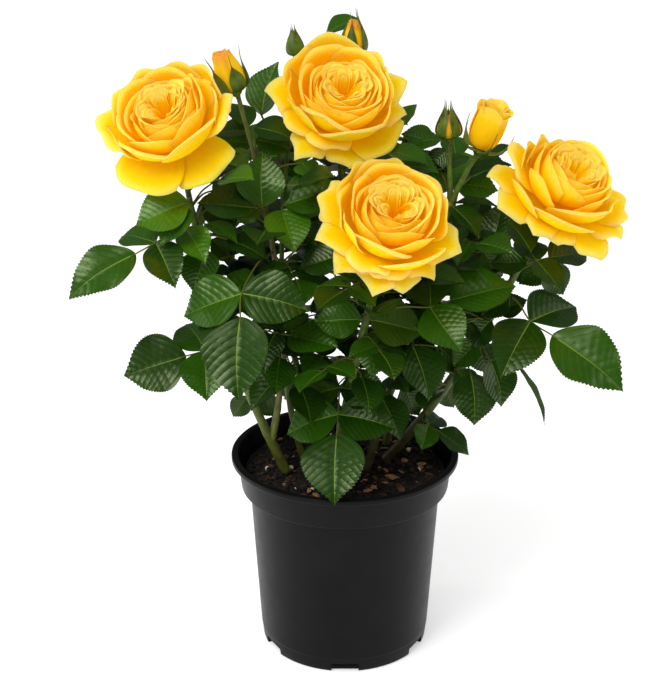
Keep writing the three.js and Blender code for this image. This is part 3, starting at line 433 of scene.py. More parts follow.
# How far each kind of bud has opened. Petals: layers, bulge and tip as parts of the bud's half
# width, top as a part of its length. Sepals: a curve of radius and height in the same parts.
BUD_KINDS = {
    "closed": {
        "layers": ((3, 1.0, 0.1, 0.66),), "shoulder": 0.6, "curl": 0.02, "wrap": 2.5, "sepal": 1.2,
        "hip": 0.5,
        "curve": ((0.4, 0.12), (1.95, 0.14), (1.0, 0.6), (0.3, 0.76), (0.12, 0.88), (0.35, 1.0)),
        "taper": (0.35, 0.86),
    },
    "showing": {
        "layers": ((3, 1.0, 0.3, 0.9), (2, 0.6, 0.16, 0.94)), "shoulder": 0.72, "curl": 0.1, "wrap": 2.4,
        "sepal": 1.15, "hip": 0.48,
        "curve": ((0.4, 0.12), (1.8, 0.14), (1.2, 0.6), (0.55, 0.8), (0.3, 0.95), (0.4, 1.08)),
        "taper": (0.2, 0.8),
    },
    "half": {
        "layers": ((3, 1.0, 0.5, 0.97), (3, 0.8, 0.34, 1.0), (2, 0.55, 0.2, 0.98)), "shoulder": 0.85,
        "curl": 0.35, "wrap": 2.3, "sepal": 1.25, "hip": 0.48,
        "curve": ((0.4, 0.12), (1.7, 0.1), (1.15, 0.5), (0.95, 0.62), (1.2, 0.75), (1.4, 0.98)),
        "taper": (0.35, 0.75),
    },
    "opening": {
        "layers": ((3, 1.0, 0.9, 0.93), (3, 0.86, 0.72, 0.98), (3, 0.66, 0.5, 1.0), (3, 0.45, 0.3, 0.99)),
        "shoulder": 1.0, "curl": 1.2, "wrap": 2.2, "sepal": 0.75, "hip": 0.42,
        "curve": ((0.3, 0.12), (1.0, 0.06), (1.5, 0.16), (1.75, 0.4), (1.7, 0.62)), "taper": (0.2, 0.75),
    },
}
BUD_PETAL = {"claw": 0.4, "drop": 0.14, "blunt": 2, "wrap": (1, 1), "sides": 0.3}

# Light: the world's strength on surfaces and in reflections, the sun's, and the floor's own glow
WORLD_LIGHT = 0.66
WORLD_SHEEN = 0.12
SUN_LIGHT = 0.55
SUN_SPREAD = 40
SUN_FROM = (-0.4, -0.75, 1.15)
FLOOR_GLOW = 0.34
FLOOR_REACH = 3000
FLOOR_DROP = 0.2

# The area lights, in metres: place, target, size and power
AREA_LIGHTS = {
    "key": ((-0.7, -0.9, 1.3), (0, 0, 0.2), (0.7, 0.7), 8.8),
    "strip_left": ((-1.0, 0.1, 0.4), (0, 0, 0.1), (0.25, 1.0), 2),
    "strip_right": ((1.0, 0.2, 0.4), (0, 0, 0.1), (0.25, 1.0), 1.2),
}

# The glow that stands for light shining through the petals, and through those of the heart
PETAL_GLOW = 0.08
HEART_GLOW = 0.12

rng = np.random.default_rng(SEED)


# Small maths

def vec(values):
    return np.array(values, float)


def mix(a, b, part):
    return a + (b - a) * part


def smooth(low, high, value):
    part = np.clip((value - low) / (high - low), 0, 1)
    return part * part * (3 - 2 * part)


def unit(vector):
    return vector / np.linalg.norm(vector)


def rows_unit(vectors):
    return vectors / np.maximum(np.linalg.norm(vectors, axis=-1, keepdims=True), 1e-9)


def way_of(heading, rise):
    """The unit vector of a heading and a rise in degrees."""
    h = math.radians(heading)
    r = math.radians(rise)
    return vec((math.cos(r) * math.cos(h), math.cos(r) * math.sin(h), math.sin(r)))


def circle(count):
    """Evenly spaced points of the unit circle."""
    angles = np.linspace(0, 2 * math.pi, count, endpoint=False)
    return np.stack([np.cos(angles), np.sin(angles)], -1)


def strip(rows, columns):
    """The parts along a strip of tissue, and from its middle to its two edges, at each row and column."""
    return np.meshgrid(np.linspace(0, 1, rows), np.linspace(-1, 1, columns), indexing="ij")


def turned(x, y, angle):
    """X and Y turned round Z by an angle in radians."""
    c = math.cos(angle)
    d = math.sin(angle)
    return x * c - y * d, x * d + y * c


def bezier(points, part):
    """A point, or a row of points, on the curve of a list of control points."""
    part = np.asarray(part, float)[..., None]
    points = [vec(point) for point in points]
    while len(points) > 1:
        points = [mix(a, b, part) for a, b in zip(points[:-1], points[1:])]
    return points[0]


def make_draw(seed):
    """An even draw between 0 and 1, the same on every run."""
    state = seed

    def draw():
        nonlocal state
        state = (state * 16807) % 2147483647
        return state / 2147483647

    return draw


def length_of(line):
    points = bezier(line, np.linspace(0, 1, 201))
    return float(np.linalg.norm(np.diff(points, axis=0), axis=1).sum())


def part_at_height(line, height):
    low = 0.0
    high = 1.0
    for _ in range(30):
        middle = (low + high) / 2
        if bezier(line, middle)[2] < height:
            low = middle
        else:
            high = middle
    return (low + high) / 2


# Stems and twigs

def twig_line(name, twig):
    line = STEMS[name]["line"]
    start = bezier(line, part_at_height(line, twig["at"]))
    end = vec(twig["top"])
    knee = mix(start, end, 0.5)
    knee[2] += TWIG_ARCH * np.linalg.norm(end - start)
    return (start, knee, end)


def joint_on(name, height):
    """The point of a stem at a height; above the stem's own top it is on its first side twig."""
    line = STEMS[name]["line"]
    if height > line[2][2]:
        line = twig_line(name, TWIGS[name][0])
    return bezier(line, part_at_height(line, height))


def bud_stem(bud):
    """The line of the stem or side twig that ends under a bud, and its radius there."""
    if bud["twig"] is None:
        stem = STEMS[bud["stem"]]
        return stem["line"], stem["radius"][1]
    twig = TWIGS[bud["stem"]][bud["twig"]]
    return twig_line(bud["stem"], twig), twig["radius"]


# Leaves, before they have a mesh

def rolled_over(axes, degrees):
    """A leaf's or leaflet's axes turned about its own midrib."""
    c = math.cos(math.radians(degrees))
    s = math.sin(math.radians(degrees))
    return {**axes, "side": axes["side"] * c - axes["face"] * s, "face": axes["face"] * c + axes["side"] * s}


def leaf_axes(heading, rise, roll):
    """A leaf's own axes: along its stalk, across to its right side, and up out of its face."""
    h = math.radians(heading)
    r = math.radians(rise)
    along = way_of(heading, rise)
    face = vec((-math.sin(r) * math.cos(h), -math.sin(r) * math.sin(h), math.cos(r)))
    return rolled_over({"along": along, "side": np.cross(along, face), "face": face}, roll)


def leaflet_pair(axes, root, pair, length):
    """The two leaflets that stand across a leaf's stalk from one root."""
    turn = math.radians(pair["turn"])
    droop = math.radians(PAIR_DROOP)
    leaflets = []
    for hand in (1, -1):
        flat = axes["along"] * math.cos(turn) + axes["side"] * hand * math.sin(turn)
        face = axes["face"] * math.cos(droop) + flat * math.sin(droop)
        along = flat * math.cos(droop) - axes["face"] * math.sin(droop)
        leaflets.append({
            "root": root, "along": along, "side": np.cross(along, face), "face": face,
            "length": pair["size"] * length,
        })
    return leaflets


def compound_leaf(joint, fork, heading, rise, roll, length, count, fine=True):
    """A compound leaf: its leaflets, the line of its stalk from the stem to the end leaflet, and
    how it is drawn."""
    axes = leaf_axes(heading, rise, roll)
    back = fork + axes["along"] * (-PAIR_STEP * length if count > 3 else 0)
    arch = mix(joint, back, 0.5)
    arch[2] += STALK_ARCH * np.linalg.norm(back - joint)
    leaflets = []
    stalk = [joint, arch, back]
    end = fork
    if count > 3:
        leaflets += leaflet_pair(axes, back, LOWER_PAIR, length)
        stalk.append(fork)
    if count > 1:
        leaflets += leaflet_pair(axes, fork, UPPER_PAIR, length)
        end = fork + axes["along"] * RACHIS * length
        stalk.append(end)
    stalk.append(end + axes["along"] * STALK_END * length)
    leaflets.append({"root": end, **axes, "length": length})
    return {"leaflets": leaflets, "stalk": stalk, "fine": fine, "wider": OTHERS_WIDER, "end_roll": 0}


def half_width(u):
    return HALF_WIDTH * np.maximum(np.sin(math.pi * np.clip(u, 0, 1) ** 0.75), 0) ** 0.75


def lift(u, v):
    return BLADE_CUP * np.abs(v) - BLADE_DROOP * u * u


def leaflet_points(leaflet, u, v, raised=0.0):
    """Points of a leaflet at parts u of its length and v across it, raised off its blade."""
    length = leaflet["length"]
    point = leaflet["root"] + (u * length)[..., None] * leaflet["along"]
    point = point + (v * length)[..., None] * leaflet["side"]
    return point + ((lift(u, v) + raised) * length)[..., None] * leaflet["face"]


# The rule by which the bush grows

SAMPLES_ALONG = (0.08, 0.25, 0.42, 0.6, 0.78, 0.92)
SAMPLES_ACROSS = (-0.85, -0.4, 0, 0.4, 0.85)
SAMPLE_U = np.append(np.repeat(SAMPLES_ALONG, len(SAMPLES_ACROSS)), 1)
SAMPLE_V = np.append(np.tile(SAMPLES_ACROSS, len(SAMPLES_ALONG)), 0) * half_width(SAMPLE_U)
SAMPLE_STEP = 3
STALK_START = 5
STALK_ROOM = 0.6


def stalk_samples(stalk, start):
    samples = []
    for a, b in zip(stalk[:-1], stalk[1:]):
        steps = max(1, math.floor(np.linalg.norm(b - a) / SAMPLE_STEP + 0.5))
        for k in range(steps):
            point = mix(a, b, k / steps)
            if np.linalg.norm(point - stalk[0]) > start:
                samples.append(point)
    return np.array(samples).reshape(-1, 3)


def near_leaflet(leaflet, points, margin):
    offset = points - leaflet["root"]
    length = leaflet["length"]
    u = offset @ leaflet["along"] / length
    v = offset @ leaflet["side"] / length
    spare = margin / length
    beside = (u < -spare) | (u > 1 + spare) | (np.abs(v) > half_width(u) + spare)
    return ~beside & (np.abs(offset @ leaflet["face"] - lift(u, v) * length) < margin)


class Growth:
    """What has grown so far, and whether a new leaf is clear of it."""

    def __init__(self):
        self.leaflets = []
        self.stalks = []
        self.stems = []
        self.balls = []
        self.leaves = {}

    def note_stem(self, name, line, radius):
        parts = np.linspace(0, 1, math.ceil(length_of(line) / SAMPLE_STEP) + 1)
        self.stems.append({"name": name, "points": bezier(line, parts), "radii": mix(*radius, parts)})

    def note_ball(self, seat, faces, low, high, radius):
        self.balls.append({
            "seat": vec(seat), "axis": unit(vec(faces)), "middle": (low + high) / 2,
            "half": (high - low) / 2, "radius": radius,
        })

    def keep(self, leaf, name):
        for leaflet in leaf["leaflets"]:
            samples = leaflet_points(leaflet, SAMPLE_U, SAMPLE_V)
            self.leaflets.append({"leaflet": leaflet, "name": name, "samples": samples})
        self.stalks.append({"name": name, "samples": stalk_samples(leaf["stalk"], 0)})
        self.leaves.setdefault(name, []).append(leaf)

    def keep_if_clear(self, leaf, name, margin, own):
        """Keeps a leaf if it is clear of what has grown by a margin, or by own of its own stem's leaves."""
        fits = (
            all(self.leaflet_clear(leaflet, name, margin, own) for leaflet in leaf["leaflets"])
            and self.stalk_clear(stalk_samples(leaf["stalk"], STALK_START), name, margin, own)
        )
        if fits:
            self.keep(leaf, name)
        return fits

    def rooms(self, others, name, margin, own):
        """The others that have to stay clear, each with the room it needs."""
        for other in others:
            room = own if other["name"] == name else margin
            if room > 0:
                yield other, room

    def balls_hold(self, points, margin):
        """Whether any of the points is inside a bloom's or bud's own space."""
        for ball in self.balls:
            offset = points - ball["seat"]
            along = offset @ ball["axis"]
            across = np.sqrt(np.maximum((offset * offset).sum(axis=-1) - along * along, 0))
            a = (along - ball["middle"]) / (ball["half"] + margin)
            b = across / (ball["radius"] + margin)
            if (a * a + b * b < 1).any():
                return True
        return False

    def leaflet_clear(self, leaflet, name, margin, own):
        samples = leaflet_points(leaflet, SAMPLE_U, SAMPLE_V)
        for other, room in self.rooms(self.leaflets, name, margin, own):
            reach = other["leaflet"]["length"] + leaflet["length"] + margin
            if np.linalg.norm(other["leaflet"]["root"] - leaflet["root"]) < reach:
                if near_leaflet(other["leaflet"], samples, room).any():
                    return False
                if near_leaflet(leaflet, other["samples"], room).any():
                    return False
        for other, room in self.rooms(self.stalks, name, margin, own):
            if near_leaflet(leaflet, other["samples"], room + STALK_ROOM).any():
                return False
        for stem in self.stems:
            tested = stem["name"] != name or own > 0
            if tested and near_leaflet(leaflet, stem["points"], stem["radii"] + margin).any():
                return False
        return not self.balls_hold(samples, margin)

    def stalk_clear(self, points, name, margin, own):
        for other, room in self.rooms(self.leaflets, name, margin, own):
            if near_leaflet(other["leaflet"], points, room + STALK_ROOM).any():
                return False
        for stem in self.stems:
            if stem["name"] != name:
                apart = np.linalg.norm(points[:, None] - stem["points"][None], axis=2)
                if (apart < stem["radii"] + margin + 2 * STALK_ROOM).any():
                    return False
        return not self.balls_hold(points, margin)


def inside_crown(leaf, share=1):
    heights, radii = zip(*CROWN)
    for leaflet in leaf["leaflets"]:
        tip = leaflet_points(leaflet, vec(1), vec(0))
        limit = float(np.interp(tip[2], heights, radii, left=0, right=0)) * share
        if math.hypot(tip[0], tip[1] - CROWN_AXIS_Y) >= limit:
            return False
    return True


def grow_stem_leaves(growth, draw, name, habit):
    """The seeded leaves of one stem, from its leafy height to near its top."""
    line = STEMS[name]["line"]
    start = part_at_height(line, STEMS[name]["leafy"] + habit["above"])
    count = math.floor(length_of(line) * (1 - start) / habit["spacing"])
    heading = draw() * 360
    for i in range(count):
        heading += LEAF_TURN
        part = mix(start, habit["end"], i / count)
        joint = bezier(line, part)
        for attempt in range(habit["tries"]):
            swung = heading + (draw() - 0.5) * habit["swing"] * (1 + attempt)
            rise = mix(*habit["rise"], part) + (draw() - 0.5) * habit["sway"]
            roll = (draw() - 0.5) * habit["roll"]
            reach = mix(*habit["reach"], draw())
            length = mix(*habit["blade"], draw()) * (1 - habit["shrink"] * part)
            leaflets = habit["leaflets"][0 if draw() < habit["many"] and attempt < FULL_TRIES else 1]
            fork = joint + reach * way_of(swung, mix(rise, STALK_RISE, 0.5))
            leaf = compound_leaf(joint, fork, swung, rise, roll, length, leaflets, habit["fine"])
            if inside_crown(leaf, habit["crown"]):
                if growth.keep_if_clear(leaf, name, habit["clearance"], habit["own"]):
                    break


def dress_back(growth, draw, name, outward):
    """The leaves down one back cane's outer side, and those that close its tip."""
    line = STEMS[name]["line"]
    start = part_at_height(line, STEMS[name]["leafy"] - BACK_BELOW)
    count = math.floor(length_of(line) * (1 - start) / BACK_SPACING)
    for i in range(count):
        joint = bezier(line, mix(start, 0.97, i / count))
        hand = 1 if i % 2 else -1
        for attempt in range(FILL_LEAVES["tries"]):
            heading = outward + hand * BACK_FAN * draw()
            rise = mix(*BACK_RISE, draw())
            length = mix(*BACK_BLADE, draw())
            fork = joint + mix(*BACK_REACH, draw()) * vec((*turned(1, 0, math.radians(heading)), 0.25))
            roll = (draw() - 0.5) * BACK_ROLL
            leaflets = 3 if attempt < FULL_TRIES else 1
            leaf = compound_leaf(joint, fork, heading, rise, roll, length, leaflets, False)
            if inside_crown(leaf):
                if growth.keep_if_clear(leaf, name, FILL_LEAVES["clearance"], FILL_LEAVES["own"]):
                    break
    for turn in TIP_TURNS if name in BARE_TIPS else ():
        heading = outward + turn
        fork = bezier(line, 1) + TIP_REACH * vec((*turned(1, 0, math.radians(heading)), 0.7))
        leaf = compound_leaf(bezier(line, 0.985), fork, heading, TIP_RISE, 0, TIP_BLADE, 3, False)
        growth.keep_if_clear(leaf, name, FILL_LEAVES["clearance"], 0)


def grow_bush():
    growth = Growth()
    for name, stem in STEMS.items():
        growth.note_stem(name, stem["line"], stem["radius"])
        for twig in TWIGS.get(name, []):
            growth.note_stem(name, twig_line(name, twig), (twig["radius"], twig["radius"]))
    for bloom in BLOOMS.values():
        growth.note_ball(STEMS[bloom["stem"]]["line"][2], bloom["faces"], 2, BLOOM_HEIGHT + 3, BLOOM_RADIUS)
    for bud in BUDS.values():
        growth.note_ball(bud_stem(bud)[0][2], bud["points"], -1, bud["length"], bud["width"] / 2)
    for name, height, fork, *shape in FRONT_LEAVES:
        leaf = compound_leaf(joint_on(name, height), vec(fork), *shape)
        leaf["wider"] = DRAWN_WIDTHS.get((name, height), FRONT_WIDER)
        leaf["end_roll"] = DRAWN_ROLLS.get((name, height), 0)
        growth.keep_if_clear(leaf, name, FRONT_CLEARANCE, 0)
    fork, *shape = LOW_LEAF
    growth.keep(compound_leaf(vec(LOW_SHOOT["line"][2]), vec(fork), *shape), "low_right")
    growth.note_stem("low_right", LOW_SHOOT["line"], LOW_SHOOT["radius"])
    draw = make_draw(SEED)
    for habit in (MAIN_LEAVES, *[FILL_LEAVES] * FILL_ROUNDS):
        for name in STEMS:
            grow_stem_leaves(growth, draw, name, habit)
    for name, height, foot, *shape in SHADE_LEAVES:
        growth.keep(compound_leaf(joint_on(name, height), vec(foot), *shape, 1, False), name)
    draw = make_draw(BACK_SEED)
    for name, outward in BACK_CANES.items():
        dress_back(growth, draw, name, outward)
    return growth


# Mesh making

class Bag:
    """The vertices, triangles, UVs and material numbers of one joined mesh."""

    def __init__(self):
        self.points = []
        self.uvs = []
        self.faces = []
        self.slots = []
        self.count = 0

    def add(self, points, faces, uvs, slot):
        points = np.asarray(points, float).reshape(-1, 3)
        faces = np.asarray(faces, int).reshape(-1, 3)
        self.points.append(points)
        self.uvs.append(np.asarray(uvs, float).reshape(-1, 2))
        self.faces.append(faces + self.count)
        self.slots.append(np.zeros(len(faces), int) + slot)
        self.count += len(points)


def put(name, data):
    """A new object in the scene."""
    thing = bpy.data.objects.new(name, data)
    bpy.context.scene.collection.objects.link(thing)
    return thing


def put_mesh(name, bag, materials=()):
    """A new mesh object in metres from a bag."""
    mesh = bpy.data.meshes.new(name)
    mesh.from_pydata((np.concatenate(bag.points) * MM).tolist(), [], np.concatenate(bag.faces).tolist())
    for material in materials:
        mesh.materials.append(material)
    return put(name, mesh)


def make_piece(name, bag, materials, replaces=(), smooth_shaded=True):
    """One visible piece from a bag, riding on the pot's body."""
    piece = put_mesh(name, bag, materials)
    mesh = piece.data
    faces = np.concatenate(bag.faces)
    layer = mesh.uv_layers.new(name="OFBake")
    layer.data.foreach_set("uv", np.concatenate(bag.uvs)[faces.ravel()].ravel())
    mesh.polygons.foreach_set("material_index", np.concatenate(bag.slots))
    mesh.polygons.foreach_set("use_smooth", np.full(len(faces), smooth_shaded))
    mesh.validate()
    mesh.update()
    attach(piece, "root")
    if replaces:
        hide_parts(*replaces)
    return piece


def grid_faces(rows, columns, flip=False, ring=False):
    """Triangles over a grid of rows and columns of points; a ring's last column joins its first."""
    i, j = np.meshgrid(np.arange(rows - 1), np.arange(columns if ring else columns - 1), indexing="ij")
    after = (j + 1) % columns
    a = i * columns + j
    b = i * columns + after
    c = (i + 1) * columns + after
    d = (i + 1) * columns + j
    faces = np.concatenate([np.stack([a, b, c], -1).reshape(-1, 3), np.stack([a, c, d], -1).reshape(-1, 3)])
    return faces[:, ::-1] if flip else faces


def fan(centre, first, sides, flip):
    """Triangles from a centre point to a ring of points, by their numbers."""
    ring = first + np.arange(sides)
    after = np.roll(ring, -1)
    return np.stack([np.full(sides, centre), *((after, ring) if flip else (ring, after))], -1)


def add_rings(bag, grid, slot, ends=None, flip=False, mapped=True):
    """A skin over rings of points, closed by fans if the centres of its two ends are given."""
    rows, sides = grid.shape[:2]
    total = rows * sides
    points = grid.reshape(-1, 3)
    uvs = np.stack(np.meshgrid(np.linspace(0, 1, sides), np.linspace(0, 1, rows)), -1).reshape(-1, 2)
    faces = grid_faces(rows, sides, flip, ring=True)
    if ends is not None:
        points = np.concatenate([points, ends])
        uvs = np.concatenate([uvs, [[0.5, 0], [0.5, 1]]])
        fans = [fan(total, 0, sides, not flip), fan(total + 1, total - sides, sides, flip)]
        faces = np.concatenate([faces, *fans])
    bag.add(points, faces, uvs if mapped else 0 * uvs, slot)


def add_tube(bag, centres, radii, sides, slot):
    """A tube through listed centres, closed at its ends; each ring has one radius, or one a side."""
    ways = rows_unit(np.gradient(centres, axis=0))
    across = np.cross(ways[0], (0, 0, 1) if abs(ways[0][2]) < 0.9 else (0, 1, 0))
    spokes = circle(sides)
    rings = []
    for centre, way, radius in zip(centres, ways, radii):
        across = unit(across - way * (across @ way))
        ring = spokes[:, :1] * across + spokes[:, 1:] * np.cross(way, across)
        rings.append(centre + ring * np.reshape(radius, (-1, 1)))
    add_rings(bag, np.array(rings), slot, centres[[0, -1]])


def add_lathe(bag, profile, segments, slot, turn=None, capped=False):
    """A surface turned round Z from [radius, height] points, lowest first."""
    profile = np.asarray(profile, float)
    grid = np.empty((len(profile), segments, 3))
    grid[..., :2] = profile[:, None, :1] * circle(segments)
    grid[..., 2] = profile[:, 1:]
    if turn is not None:
        grid = turn(grid)
    add_rings(bag, grid, slot, grid[[0, -1]].mean(axis=1) if capped else None)


def rounded(profile, radius, steps=4):
    """A profile with each inner corner rounded off by about a radius."""
    profile = [vec(point) for point in profile]
    points = [profile[0]]
    for before, corner, after in zip(profile[:-2], profile[1:-1], profile[2:]):
        near = min(radius, np.linalg.norm(corner - before) * 0.45)
        far = min(radius, np.linalg.norm(after - corner) * 0.45)
        a = corner + unit(before - corner) * near
        b = corner + unit(after - corner) * far
        points.extend(bezier((a, corner, b), np.linspace(0, 1, steps)))
    points.append(profile[-1])
    return points


def spline(points, steps):
    """A smooth line through points, as rows of a Catmull-Rom curve."""
    points = [vec(point) for point in points]
    padded = [2 * points[0] - points[1]] + points + [2 * points[-1] - points[-2]]
    t = np.linspace(0, 1, steps, endpoint=False)[:, None]
    rows = []
    for a, b, c, d in zip(padded[:-3], padded[1:-2], padded[2:-1], padded[3:]):
        bent = (c - a) * t + (2 * a - 5 * b + 4 * c - d) * t ** 2 + (3 * b - a - 3 * c + d) * t ** 3
        rows.append(0.5 * (2 * b + bent))
    rows.append(points[-1][None])
    return np.concatenate(rows)


# Materials

def linear(colour):
    """A colour from its 0 to 255 values, as the renderer's linear light."""
    shades = np.array(colour) / 255
    return tuple(np.where(shades <= 0.04045, shades / 12.92, ((shades + 0.055) / 1.055) ** 2.4)) + (1,)


class Nodes:
    """The nodes of a material or of the world."""

    def __init__(self, owner):
        owner.use_nodes = True
        self.tree = owner.node_tree

    def feed(self, socket, value):
        """Sets a socket to a value, or links it to another node's output."""
        if isinstance(value, bpy.types.NodeSocket):
            self.tree.links.new(value, socket)
        else:
            socket.default_value = value

    def node(self, kind, feeds, **settings):
        """A new node with its settings, and what feeds its named or numbered sockets."""
        node = self.tree.nodes.new(kind)
        for key, value in settings.items():
            setattr(node, key, value)
        for key, value in feeds.items():
            self.feed(node.inputs[key], value)
        return node

    def math(self, operation, a, b=0.0, c=0.0):
        return self.node("ShaderNodeMath", {0: a, 1: b, 2: c}, operation=operation).outputs[0]


class Finish(Nodes):
    """A material's nodes, built round one Principled shader."""

    def __init__(self, name, roughness, colour=None, **sockets):
        self.material = bpy.data.materials.new(name)
        super().__init__(self.material)
        self.shader = self.tree.nodes["Principled BSDF"]
        self.shader.inputs["Roughness"].default_value = roughness
        for socket, value in sockets.items():
            self.shader.inputs[socket.replace("_", " ")].default_value = value
        if colour is not None:
            self.shader.inputs["Base Color"].default_value = linear(colour)

    def ramp(self, value, stops):
        """A colour ramp from stops of a place and a colour."""
        node = self.node("ShaderNodeValToRGB", {0: value})
        stops = list(stops)
        elements = node.color_ramp.elements
        while len(elements) < len(stops):
            elements.new(0.5)
        for element, (place, colour) in zip(elements, stops):
            element.position = place
            element.color = linear(colour)
        return node.outputs[0]

    def blend(self, part, body, colour):
        """A body colour that gives way to another by a part."""
        feeds = {0: part, 6: body, 7: linear(colour)}
        return self.node("ShaderNodeMix", feeds, data_type="RGBA").outputs[2]

    def noise(self, scale, detail, rough=0.5):
        place = self.node("ShaderNodeTexCoord", {}).outputs["Object"]
        feeds = {"Vector": place, "Scale": scale, "Detail": detail, "Roughness": rough}
        return self.node("ShaderNodeTexNoise", feeds).outputs[0]

    def uv(self):
        """The two parts of the mesh's own UV map."""
        node = self.node("ShaderNodeUVMap", {}, uv_map="OFBake")
        parts = self.node("ShaderNodeSeparateXYZ", {0: node.outputs[0]})
        return parts.outputs[0], parts.outputs[1]

    def colour(self, value):
        self.feed(self.shader.inputs["Base Color"], value)

    def bump(self, height, strength, distance):
        node = self.node("ShaderNodeBump", {"Height": height, "Strength": strength, "Distance": distance})
        self.feed(self.shader.inputs["Normal"], node.outputs[0])


def speckled(finish, colours, places, cloud, grain, relief):
    """Gives a finish two colours in clouds of noise, over a fine relief."""
    finish.colour(finish.ramp(finish.noise(*cloud), zip(places, colours)))
    finish.bump(finish.noise(*grain), *relief)
    return finish.material


def pot_plastic():
    finish = Finish("pot_plastic", 0.4, Specular_IOR_Level=0.1)
    rough = finish.math("MULTIPLY_ADD", finish.noise(140, 3), 0.16, 0.3)
    finish.feed(finish.shader.inputs["Roughness"], rough)
    return speckled(finish, ((11, 11, 12), (16, 16, 17)), (0.3, 0.7), (55, 4), (1400, 2), (0.12, 0.0002))


def soil_finish(name, *colours):
    return speckled(Finish(name, 0.92), colours, (0.35, 0.7), (600, 4), (1800, 4), (0.6, 0.0006))


def grain_finish(name, roughness, *colours):
    """Bark chips and grains: a streaked matte surface."""
    return speckled(Finish(name, roughness), colours, (0.3, 0.7), (900, 3, 0.7), (1600, 3), (0.5, 0.0004))


def cane_finish(name, *colours):
    """Smooth green bark whose colour changes from the cane's foot to its top."""
    finish = Finish(name, 0.42, Specular_IOR_Level=0.3)
    body = finish.ramp(finish.uv()[1], zip((0.05, 0.4, 0.95), colours))
    mottle = finish.ramp(finish.noise(210, 5, 0.6), ((0.42, (0, 0, 0)), (0.66, (255, 255, 255))))
    finish.colour(finish.blend(finish.math("MULTIPLY", mottle, 0.8), body, 0.72 * vec(colours[0])))
    finish.bump(finish.noise(1500, 3), 0.25, 0.0003)
    return finish.material


def vein_wave(finish):
    """The side veins' pattern on a leaf: 0 on a vein and 1 between two."""
    u, v = finish.uv()
    across = finish.math("ABSOLUTE", finish.math("SUBTRACT", v, 0.5))
    slant = finish.math("MULTIPLY", across, VEIN_SLANT)
    bend = finish.math("MULTIPLY", finish.math("MULTIPLY", across, across), VEIN_BEND)
    bowed = finish.math("SUBTRACT", finish.math("SUBTRACT", u, slant), bend)
    phase = finish.math("MULTIPLY", finish.math("MULTIPLY", bowed, VEIN_COUNT), math.pi)
    return finish.math("ABSOLUTE", finish.math("SINE", phase))


def leaf_finish(name, vein, flesh, edge):
    finish = Finish(name, 0.3, Specular_IOR_Level=0.58, Specular_Tint=(0.88, 1, 0.6, 1))
    wave = vein_wave(finish)
    body = finish.ramp(wave, ((0, vein), (0.16, flesh), (1, flesh)))
    mottle = finish.math("MULTIPLY_ADD", finish.noise(130, 3), 0.9, -0.1)
    finish.colour(finish.blend(mottle, body, edge))
    relief = finish.math("MULTIPLY_ADD", finish.noise(900, 3), 0.35, finish.math("POWER", wave, 0.6))
    finish.bump(relief, 0.4, 0.0003)
    return finish.material


def plain_finish(name, colour, roughness, **sockets):
    return Finish(name, roughness, colour, **sockets).material


def petal_finish(name, *colours, places=(0.25, 0.74, 0.97), glow=PETAL_GLOW):
    """A petal whose colour runs from its base to its edge."""
    # Its emission is a painted glow that stands for light shining through the petal.
    finish = Finish(
        name, 0.75, Subsurface_Weight=0.6, Subsurface_Radius=(0.005, 0.0028, 0.0005), Subsurface_Scale=0.7,
        Specular_IOR_Level=0.05, Emission_Color=(1, 0.55, 0.003, 1), Emission_Strength=glow,
    )
    along, across = finish.uv()
    stretch = {0: finish.math("MULTIPLY", along, 0.35), 1: finish.math("MULTIPLY", across, 4)}
    place = finish.node("ShaderNodeCombineXYZ", stretch).outputs[0]
    feeds = {"Vector": place, "Scale": 9, "Detail": 3}
    streak = finish.node("ShaderNodeTexNoise", feeds, noise_dimensions="2D").outputs[0]
    spot = finish.math("MULTIPLY_ADD", finish.math("SUBTRACT", streak, 0.5), 0.16, along)
    finish.colour(finish.ramp(spot, zip(places, colours)))
    finish.bump(streak, 0.35, 0.0006)
    return finish.material


